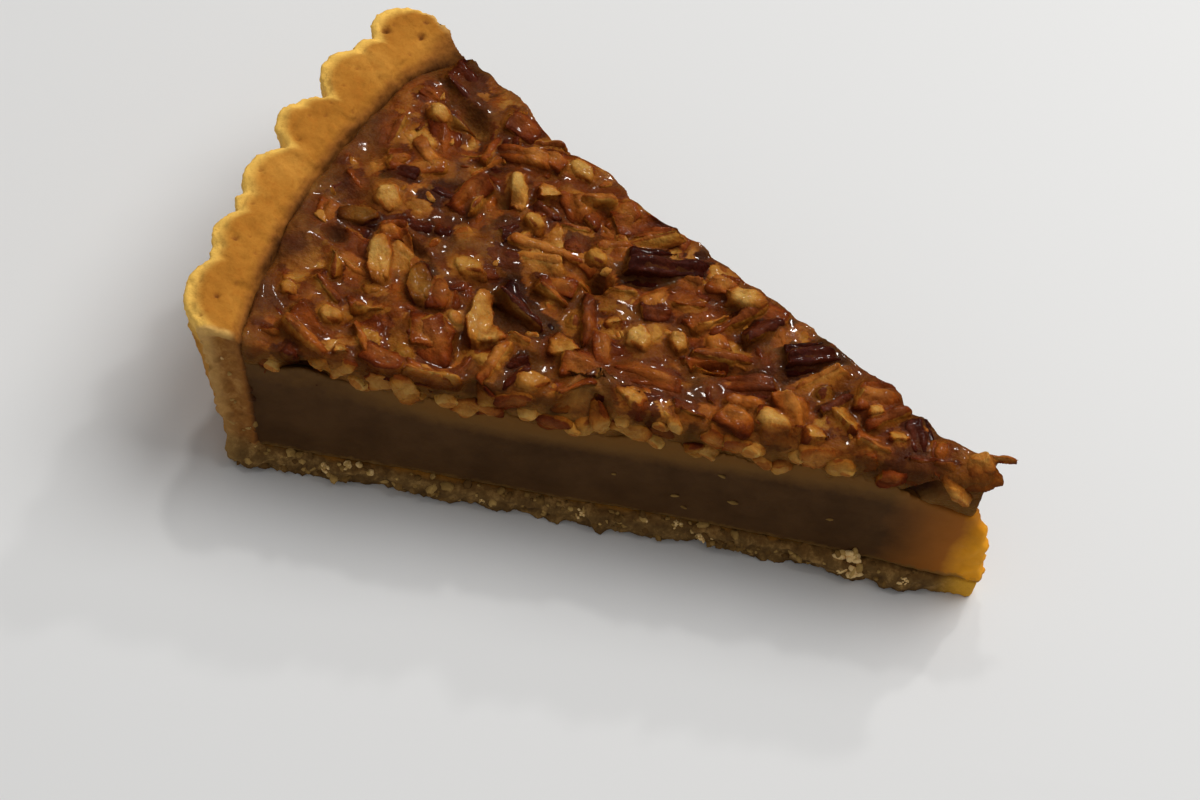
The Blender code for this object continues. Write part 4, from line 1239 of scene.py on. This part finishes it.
# And those in the near cut: distance from the axis, height, length, height of the hollow, turn, depth
cutHollows = [
    (118.5, 27.5, 9.0, 6.0, 0, 2.5), (71.0, 31.5, 9.0, 7.0, 0, 4.0), (12.4, 26.2, 9.0, 3.6, -41, 3.0),
    (90.0, 31.0, 5.0, 4.0, 0, 2.0),
]
carvePlan = {"topFrom": 28.0 * mm, "farthest": 9.0 * mm, "behindCut": -6.0 * mm, "edge": 0.65}


def pooled(point):
    return min(sum(deep * (1.0 - smooth(math.hypot(point.x - x * mm, point.y - y * mm) / (reach * mm)))
                   for x, y, reach, deep in pools), 1.0)


def carve(piece):
    # Presses the surface into the hollows and tells how far at each point; the callers paint the hollows
    # darker with it, as painted shade
    plan = carvePlan
    along, out, facing = cutSide(-1.0)
    amounts = [0.0] * len(piece.data.vertices)
    fromTop = (hollows, None, Vector((0.0, 0.0, -1.0)), plan["topFrom"])
    for places, across, into, above in (fromTop, (cutHollows, along, -out, 0.0)):
        for first, second, length, width, turn, depth in places:
            c, s = math.cos(math.radians(turn)), math.sin(math.radians(turn))
            for vert in piece.data.vertices:
                if across is None:
                    u, v = vert.co.x - first * mm, vert.co.y - second * mm
                else:
                    u, v = vert.co.dot(across) - first * mm, vert.co.z - second * mm
                if abs(u) > plan["farthest"] or abs(v) > plan["farthest"] or vert.co.z < above:
                    continue
                if across is not None and outOfCut(vert.co, -1) < plan["behindCut"]:
                    continue
                away = math.hypot((u * c + v * s) / (length * mm), (v * c - u * s) / (width * mm))
                if away < plan["edge"]:
                    amount = 1.0 - smooth(away / plan["edge"])
                    vert.co += into * depth * mm * amount
                    amounts[vert.index] = max(amounts[vert.index], amount)
    return amounts


def finishPecans(nuts, name, soak=0.15):
    pecans = joined(nuts, name)
    for size, depth in heapPlan["variety"]:
        roughen(pecans, size, depth)
    carved = carve(pecans)
    # Painted shade: the hollows are added to the sunk value, which darkens them
    sunk = [item.value + 1.2 * amount for item, amount in zip(pecans.data.attributes["sunk"].data, carved)]
    sunk = [amount + soak * pooled(vert.co) for amount, vert in zip(sunk, pecans.data.vertices)]
    setValues(pecans, "sunk", sunk)
    shade(pecans)
    return pecans


pecanColours = {
    "skin": ((0.0, (0.045, 0.009, 0.006)), (0.2, (0.095, 0.020, 0.008)), (0.45, (0.22, 0.054, 0.010)),
             (0.62, (0.34, 0.108, 0.016)), (0.85, (0.48, 0.19, 0.032))),
    "flesh": ((0.1, (0.15, 0.062, 0.010)), (0.35, (0.30, 0.13, 0.018)), (0.55, (0.45, 0.22, 0.038)),
              (0.75, (0.50, 0.26, 0.058)), (0.95, (0.58, 0.35, 0.092))),
    "soakedAndShaded": ((0.05, (1.0, 1.0, 1.0)), (0.40, (0.90, 0.70, 0.48)), (0.75, (0.66, 0.43, 0.27)),
               (1.05, (0.44, 0.26, 0.17))),
    "skinSpots": (0.35, 0.22, 0.14), "fleshSpots": (0.58, 0.34, 0.12),
}


def pecanColour(tree, middle):
    # Skin or flesh by the piece's own values, darker and browner low down where the glaze lies, and darker in
    # the hollows as painted shade
    colours = pecanColours
    broad = spots(tree, 160.0)
    tone = wavered(tree, valueOf(tree, "tone"), broad, 0.6)
    inSkin, inFlesh = between(tree, middle, 0.42, 0.7, 0.0, 0.7), between(tree, middle, 0.36, 0.68, 0.0, 0.75)
    skin = blend(tree, inSkin, ramp(tree, tone, colours["skin"]), colours["skinSpots"], "MULTIPLY")
    flesh = blend(tree, inFlesh, ramp(tree, tone, colours["flesh"]), colours["fleshSpots"], "MULTIPLY")
    ragged = wavered(tree, valueOf(tree, "skin"), middle, 0.9)
    colour = blend(tree, between(tree, ragged, 0.30, 0.70), flesh, skin)
    depth = wavered(tree, valueOf(tree, "sunk"), broad, 0.9)
    return blend(tree, 1.0, colour, ramp(tree, depth, colours["soakedAndShaded"]), "MULTIPLY")


def pecanMaterial(name, coat):
    made, tree, shader = newMaterial(name, {
        "Roughness": 0.45, "Specular IOR Level": 0.1,
        "Coat Weight": coat, "Coat Roughness": 0.13, "Coat IOR": 1.4,
        "Subsurface Weight": 0.3, "Subsurface Radius": (1.0, 0.5, 0.2), "Subsurface Scale": 1.4 * mm,
    })
    middle = spots(tree, 420.0, 4.0, 0.65, 0.6)
    height = twoGrains(tree, middle, spots(tree, 1100.0))
    finishSurface(tree, shader, pecanColour(tree, middle), height, 0.9, 0.8 * mm)
    return made


# The glaze that the pecans sit in

glazePlan = {
    "voxel": 0.5 * mm, "shrink": 0.12 * mm, "smoothing": 11, "raise": 1.5 * mm,
    "along": 130, "around": 60, "up": 8, "bump": 1.8 * mm, "bumpSize": 8.0 * mm,
    "bedRough": (4.0 * mm, 1.4 * mm), "rough": (1.6 * mm, 0.25 * mm), "rimFrom": 0.8, "under": 0.3 * mm,
    "inset": (0.1, 1.0), "insetSize": 6.0 * mm, "pointReach": 12.0 * mm, "flush": (0.2, 0.5),
    "flushSize": 3.0 * mm, "thinFrom": 0.3 * mm, "thinReach": 2.7 * mm, "thinInPool": 0.5,
    "cutBand": (1.6 * mm, 1.2 * mm), "cutTop": 33.0 * mm, "cutFade": 5.0 * mm,
    "lowFrom": 1.0 * mm, "lowFade": 4.5 * mm,
}


def bedHeight(point, radius, angle):
    beside = smooth((radius - (wallInner(0.85, angle) - tart["gutter"])) / tart["gutter"])
    level = mix(tart["bedTop"] + glazePlan["raise"], tart["bedAtRim"], beside)
    return level + glazePlan["bump"] * grain(point, glazePlan["bumpSize"], 8.0)


def bedPoint(radius, angle, share):
    low = fillingPoint(radius, angle, 1.0)
    low.z -= glazePlan["under"]
    moved, turn = roundAxis(low)
    height = mix(low.z, bedHeight(low, radius, angle), share)
    flare = wallInner(height / tart["rimHeight"], angle) - wallInner(low.z / tart["rimHeight"], angle)
    atRim = smooth((radius / wallFoot - glazePlan["rimFrom"]) / 0.2)
    point = polar(moved + flare * atRim, turn, height)
    side = math.copysign((angle / halfAngle) ** 2, angle)
    least, more = glazePlan["inset"]
    inward = (least + more * abs(grain(point, glazePlan["insetSize"], 3.0))) * mm * share
    point.y -= side * inward * smooth(radius / glazePlan["pointReach"])
    if angle > 0.0:
        point.y += max(farLine(point.x), 0.0) * side * share
    return point


def pressFlush(glaze):
    # Keeps the glaze just inside the two cuts
    least, more = glazePlan["flush"]
    for vert in glaze.data.vertices:
        for side in (-1.0, 1.0):
            inside = (least + more * grain(vert.co, glazePlan["flushSize"], 4.0)) * mm
            past = outOfCut(vert.co, side) + inside - toppingEdge(side, vert.co.x)
            if past > 0.0:
                vert.co -= outward(side) * past


def dressGlaze(glaze, nutTree, nutValues, carved):
    # Where it lies thin over a pecan, the glaze takes that pecan's colour
    plan = glazePlan
    values = {name: [] for name in ("tone", "skin", "sunk", "thin", "cut", "low", "pool")}
    for vert, hollowShade in zip(glaze.data.vertices, carved):
        spot, normal, face, away = nutTree.find_nearest(vert.co)
        values["tone"].append(nutValues["tone"][face])
        values["skin"].append(nutValues["skin"][face])
        # Painted shade: the hollows darken the glaze there
        values["sunk"].append(nutValues["sunk"][face] + hollowShade)
        pool = pooled(vert.co)
        values["pool"].append(pool)
        thin = 1.0 - smooth((away - plan["thinFrom"]) / plan["thinReach"])
        values["thin"].append(thin * (1.0 - hollowShade) * (1.0 - plan["thinInPool"] * pool))
        start, width = plan["cutBand"]
        atCut = smooth((outOfCuts(vert.co) + start) / width)
        values["cut"].append(atCut * smooth((plan["cutTop"] - vert.co.z) / plan["cutFade"]))
        level = fillingTop(math.hypot(vert.co.x, vert.co.y), 0.0)
        values["low"].append(1.0 - smooth((vert.co.z - level - plan["lowFrom"]) / plan["lowFade"]))
    for name, numbers in values.items():
        setValues(glaze, name, numbers)


def makeGlaze(pecans):
    plan = glazePlan
    angles = steps(-halfAngle, halfAngle, plan["around"])
    bed = blockOf(steps(tart["baseTip"], wallFoot, plan["along"]), angles, steps(0.0, 1.0, plan["up"]))
    for vert in bed.data.vertices:
        vert.co = bedPoint(*vert.co)
    fixNormals(bed)
    roughen(bed, *plan["bedRough"])
    sunk = joined([copyOf(item, Matrix.Identity(4)) for item in pecans], "sunk")
    nutTree = BVHTree.FromObject(sunk, bpy.context.evaluated_depsgraph_get())
    corners = [face.vertices[0] for face in sunk.data.polygons]
    nutValues = {}
    for name in ("tone", "skin", "sunk"):
        rows = sunk.data.attributes[name].data
        nutValues[name] = [rows[corner].value for corner in corners]
    applyModifier(sunk, "DISPLACE", strength=-plan["shrink"], mid_level=0.0, direction="NORMAL")
    glaze = joined([bed, sunk], "glaze")
    remesh(glaze, plan["voxel"])
    applyModifier(glaze, "SMOOTH", factor=0.6, iterations=plan["smoothing"])
    roughen(glaze, *plan["rough"])
    pressFlush(glaze)
    carved = carve(glaze)
    shade(glaze)
    dressGlaze(glaze, nutTree, nutValues, carved)
    return glaze


glazeColours = {
    "thick": ((0.30, (0.100, 0.034, 0.011)), (0.46, (0.165, 0.060, 0.015)), (0.58, (0.235, 0.094, 0.019)),
              (0.72, (0.32, 0.145, 0.030))),
    "olive": ((0.35, (0.105, 0.045, 0.010)), (0.62, (0.25, 0.115, 0.021))),
    "pool": (0.062, 0.020, 0.010), "merged": (0.185, 0.082, 0.017), "shade": (0.60, 0.42, 0.28),
}


def glazeMaterial():
    made, tree, shader = newMaterial("brownGlaze", {
        "Roughness": 0.35, "Specular IOR Level": 0.1,
        "Coat Weight": 0.5, "Coat Roughness": 0.08, "Coat IOR": 1.4,
        "Subsurface Weight": 0.3, "Subsurface Radius": (1.0, 0.4, 0.12), "Subsurface Scale": 1.5 * mm,
    })
    colours = glazeColours
    middle = spots(tree, 520.0)
    thick = ramp(tree, spots(tree, 130.0, 3.0, 0.6, 0.4), colours["thick"])
    pooledGlaze = blend(tree, times(tree, valueOf(tree, "pool"), 0.85), thick, colours["pool"])
    overNut = pecanColour(tree, spots(tree, 420.0, 4.0, 0.65, 0.6))
    tinted = blend(tree, times(tree, valueOf(tree, "thin"), 0.85), pooledGlaze, overNut)
    exposed = between(tree, valueOf(tree, "pool"), 0.0, 1.0, 0.7, 0.1)
    olive = ramp(tree, middle, colours["olive"])
    atCut = blend(tree, times(tree, valueOf(tree, "cut"), exposed), tinted, olive)
    merged = blend(tree, times(tree, valueOf(tree, "low"), valueOf(tree, "cut")), atCut, colours["merged"])
    shaded = blend(tree, between(tree, middle, 0.4, 0.7, 0.0, 0.5), merged, colours["shade"], "MULTIPLY")
    finishSurface(tree, shader, shaded, twoGrains(tree, middle, spots(tree, 1100.0)), 0.85, 0.8 * mm)
    return made


# Fragments of nut on the glaze, and crumbs on the cut pastry

bitsPlan = {
    "count": 26, "size": (1.2 * mm, 2.4 * mm), "radius": 128.0 * mm, "nearest": 0.002, "dropFrom": 45.0 * mm,
    "sink": 0.15, "shape": ((1.0, 1.6), (0.6, 1.0), (0.6, 0.9)), "lean": (-0.5, 0.5),
    "tones": (0.4, 0.6, 0.8), "sunk": 0.3,
}
# Fragments in the near cut, in mm: distance from the axis, height and size
fleckPlan = {
    "shown": [(43.0, 13.0, 0.8), (53.0, 12.0, 0.7), (51.0, 9.0, 0.5), (28.0, 14.0, 0.6), (64.0, 15.0, 0.4),
              (46.0, 20.0, 0.6)],
    "farCount": 30, "radius": (14, 122), "height": (7, 20), "size": (0.3, 0.8),
    "shape": (1.3, 0.5, 0.4), "tone": 0.55,
}
# Chunks in mm: distance from the axis, height and size
edgePlan = {
    "count": 520, "size": (0.3 * mm, 0.95 * mm), "radius": (14.0, 134.0), "height": (1.0, 5.2),
    "wallFrom": 126.0 * mm, "wallHeight": (1.0, 29.0), "wallAcross": (0.1, 0.85), "wallTone": (0.5, 1.0),
    "out": (-0.6, 0.2), "shape": ((0.8, 1.5), (0.6, 1.1), (0.6, 1.0)),
    "chunks": [(23.4, 4.4, 2.9), (15.0, 3.4, 1.0), (46.5, 2.6, 1.1), (51.0, 4.4, 1.0), (68.0, 3.4, 1.1),
               (85.0, 2.4, 1.0), (113.0, 3.6, 1.1)],
    "chunkCrumbs": 16, "chunkSpread": (-0.7, 0.7), "chunkOut": (-0.4, 0.2), "chunkCrumbSize": 0.34,
    "chunkShape": ((0.9, 1.6), (0.5, 0.9), (0.5, 0.9)), "chunkTone": (0.75, 1.2),
}


def scatterOn(surfaces, templates, draw):
    # Drops small pieces from above, where the first of the surfaces is uppermost
    plan = bitsPlan
    depsgraph = bpy.context.evaluated_depsgraph_get()
    trees = [BVHTree.FromObject(surface, depsgraph) for surface in surfaces]
    dropped = []
    while len(dropped) < plan["count"]:
        radius = plan["radius"] * math.sqrt(draw.uniform(plan["nearest"], 1.0))
        start = polar(radius, draw.uniform(-halfAngle, halfAngle) * 0.99, plan["dropFrom"])
        hits = [tree.ray_cast(start, Vector((0.0, 0.0, -1.0)))[0] for tree in trees]
        heights = [hit.z if hit is not None else 0.0 for hit in hits]
        if heights[0] < max(*heights, tart["fillingTop"]):
            continue
        size = mix(*plan["size"], draw.random() ** 2)
        start.z = heights[0] - size * plan["sink"]
        turn = Matrix.Rotation(draw.uniform(0, 6.28), 4, "Z")
        turn = turn @ Matrix.Rotation(draw.uniform(*plan["lean"]), 4, "X")
        shape = stretched(draw, *plan["shape"])
        piece = placeOne(draw, templates, start, turn, size, shape)
        setEvenly(piece, "tone", draw.choice(plan["tones"]))
        setEvenly(piece, "sunk", plan["sunk"])
        dropped.append(piece)
    return dropped


def makeFlecks(draw, templates):
    # Nut fragments that show in the cut filling
    plan = fleckPlan
    flecks = []
    for side in (-1.0, 1.0):
        for index in range(plan["farCount"] if side > 0 else len(plan["shown"])):
            if side < 0:
                radius, height, size = plan["shown"][index]
            else:
                radius, height, size = [draw.uniform(*plan[name]) for name in ("radius", "height", "size")]
            spot = polar(radius * mm, side * halfAngle, height * mm)
            spot.x += fillingPush((height - 5) / 18) * tipFade(radius * mm)
            turn = Matrix.Rotation(draw.uniform(-0.5, 0.5), 4, "Y")
            piece = placeOne(draw, templates, spot, turn, size * mm, Matrix.Diagonal((*plan["shape"], 1.0)))
            setEvenly(piece, "tone", plan["tone"])
            flecks.append(piece)
    return flecks


def edgeCrumb(draw, templates, side):
    plan = edgePlan
    size = mix(*plan["size"], draw.random() ** 2)
    radius = draw.uniform(*plan["radius"]) * mm
    height = draw.uniform(*plan["height"]) * mm
    if radius > plan["wallFrom"]:
        height = draw.uniform(*plan["wallHeight"]) * mm
        share = height / tart["rimHeight"]
        across = draw.uniform(*plan["wallAcross"])
        radius = mix(wallInner(share, side * halfAngle), wallOuter(share, side * halfAngle), across)
    spot = polar(radius, side * halfAngle, height)
    spot.x += tart["tipPush"] * tipFade(radius)
    spot.y += side * (draw.uniform(*plan["out"]) * size + ledge(spot) * ledgeGrowth(spot.x))
    turn = tumbled(draw)
    crumb = placeOne(draw, templates, spot, turn, size, stretched(draw, *plan["shape"]))
    setEvenly(crumb, "tone", draw.uniform(*plan["wallTone"]) if height > 5.2 * mm else draw.random())
    return crumb


def chunkCrumb(draw, templates, spot, size):
    plan = edgePlan
    across, out, up = [draw.uniform(*plan[name]) for name in ("chunkSpread", "chunkOut", "chunkSpread")]
    aside = Vector([across * size * mm, out * mm, up * size * mm])
    aside.y -= ledge(spot + aside)
    turn = tumbled(draw)
    shape = stretched(draw, *plan["chunkShape"])
    crumb = placeOne(draw, templates, spot + aside, turn, size * plan["chunkCrumbSize"] * mm, shape)
    setEvenly(crumb, "tone", draw.uniform(*plan["chunkTone"]))
    return crumb


def makeCrumbs(draw, templates):
    # Pale crumbs on the cut edge of the base and the wall, and chunks of several on the base
    crumbs = []
    for side in (-1.0, 1.0):
        crumbs += [edgeCrumb(draw, templates, side) for index in range(edgePlan["count"] // 2)]
    for radius, height, size in edgePlan["chunks"]:
        spot = polar(radius * mm, -halfAngle, height * mm)
        spot.x += tart["tipPush"] * tipFade(radius * mm)
        crumbs += [chunkCrumb(draw, templates, spot, size) for index in range(edgePlan["chunkCrumbs"])]
    return crumbs


crumbColours = (
    (0.1, (0.14, 0.068, 0.017)), (0.5, (0.26, 0.142, 0.036)),
    (0.95, (0.52, 0.32, 0.10)), (1.2, (0.88, 0.60, 0.26)),
)


def crumbMaterial():
    made, tree, shader = newMaterial("pastryCrumb", {"Roughness": 0.85, "Specular IOR Level": 0.15})
    middle = spots(tree, 700.0)
    colour = ramp(tree, wavered(tree, valueOf(tree, "tone"), middle, 0.5), crumbColours)
    finishSurface(tree, shader, colour, middle, 0.5, 0.3 * mm)
    return made


# Light and table

lightPlan = {
    "nearSky": 0.33, "farSky": 0.24, "skyColour": (1.0, 0.985, 0.96, 1.0), "lampColour": (1.0, 0.975, 0.935),
    "main": {"size": 1.0, "power": 12.3, "azimuth": 146.0, "elevation": 61.0, "away": 1.3, "shines": False},
    "spark": {"size": 0.07, "power": 1.6, "azimuth": 172.0, "elevation": 38.0, "away": 1.2, "shines": True},
    "sheen": {"size": 0.08, "power": 1.2, "azimuth": 208.0, "elevation": 60.0, "away": 1.2, "shines": True},
    "table": (0.75, 0.765, 0.785),
}


def addLamp(name, plan):
    a, e = math.radians(plan["azimuth"]), math.radians(plan["elevation"])
    back = Vector((math.sin(a) * math.cos(e), -math.cos(a) * math.cos(e), math.sin(e)))
    turn = back.to_track_quat("Z", "Y").to_euler()
    bpy.ops.object.light_add(type="AREA", location=back * plan["away"], rotation=turn)
    lamp = bpy.context.object
    lamp.name = name
    lamp.data.shape = "DISK"
    lamp.data.size = plan["size"]
    lamp.data.energy = plan["power"]
    lamp.data.color = lightPlan["lampColour"]
    lamp.visible_glossy = plan["shines"]


def addTable():
    bpy.ops.mesh.primitive_plane_add(size=6.0, location=(0.0, 0.0, 0.0))
    table = bpy.context.object
    table.name = "table"
    looks = {"Roughness": 0.5, "Base Color": (*lightPlan["table"], 1.0)}
    made, tree, shader = newMaterial("paleTable", looks)
    table.data.materials.append(made)
    table.visible_glossy = False


def addLight():
    world = bpy.data.worlds.new("studio")
    scene.world = world
    world.use_nodes = True
    # Brighter on the near side than behind the slice
    tree = world.node_tree
    background = tree.nodes["Background"]
    background.inputs["Color"].default_value = lightPlan["skyColour"]
    toFar = coordinate(tree, "Generated", "Y")
    strength = between(tree, toFar, -0.6, 0.5, lightPlan["nearSky"], lightPlan["farSky"])
    tree.links.new(strength, background.inputs["Strength"])
    world.cycles_visibility.glossy = False
    for name in ("main", "spark", "sheen"):
        addLamp(name + "Light", lightPlan[name])


# Making it all

print("baking the crust")
makeCrust(crustMaterial())
print("pouring the filling")
makeFilling(fillingMaterial())

print("chopping pecans")
half = pecanHalf()
kinds, smallKinds, tinyKinds = [
    {name: chop(half, *shape, *chopPlan[grade]) for name, shape in chopped.items()}
    for grade in ("fine", "medium", "coarse")
]
discard(half)
draw = random.Random(5)
pecanFinish = pecanMaterial("glazedPecan", 0.45)
cutFinish = pecanMaterial("cutPecan", 0.04)
pecanPieces = [
    finishPecans(layRows(kinds, darkPecans, 1.1, draw), "darkPecans"),
    finishPecans(layRows(kinds, redPecans, 1.05, draw), "redPecans"),
    finishPecans(layRows(kinds, palePecans, 0.95, draw), "palePecans"),
    finishPecans(layNearCut(kinds, draw), "nearCutPecans"),
    finishPecans(layCutFill(smallKinds, -1.0, 26.0, 31.5, 0.9 * mm, draw)
                 + layCutFill(smallKinds, 1.0, 25.0, 29.5, 0.0, draw), "cutFacePecans"),
    finishPecans(laySmall(smallKinds, draw), "smallPecans", 0.7),
    finishPecans(layLower(smallKinds, draw), "lowerPecans", 1.0),
]
discard(*kinds.values(), *smallKinds.values())

print("pouring the glaze")
glaze = makeGlaze(pecanPieces)

print("scattering bits")
lumps = crumbShapes()
templates = list(tinyKinds.values())
bits = joined(scatterOn([glaze, *pecanPieces], templates, draw), "pecanBits")
shade(bits, 60)
discard(*templates)
flecks = joined(makeFlecks(draw, lumps), "fillingFlecks")
shade(flecks, 50)
crumbs = joined(makeCrumbs(draw, lumps), "pastryCrumbs")
for vert in crumbs.data.vertices:
    vert.co.z = max(vert.co.z, 0.0)
shade(crumbs)
discard(*lumps)

for piece in (*pecanPieces, bits):
    finish = cutFinish if piece.name in ("nearCutPecans", "cutFacePecans") else pecanFinish
    finishPiece(piece, "pecan_topping", finish)
crumbFinish = crumbMaterial()
finishPiece(flecks, "filling", crumbFinish)
finishPiece(crumbs, "crust", crumbFinish)
finishPiece(glaze, "pecan_topping", glazeMaterial())

addTable()
addLight()
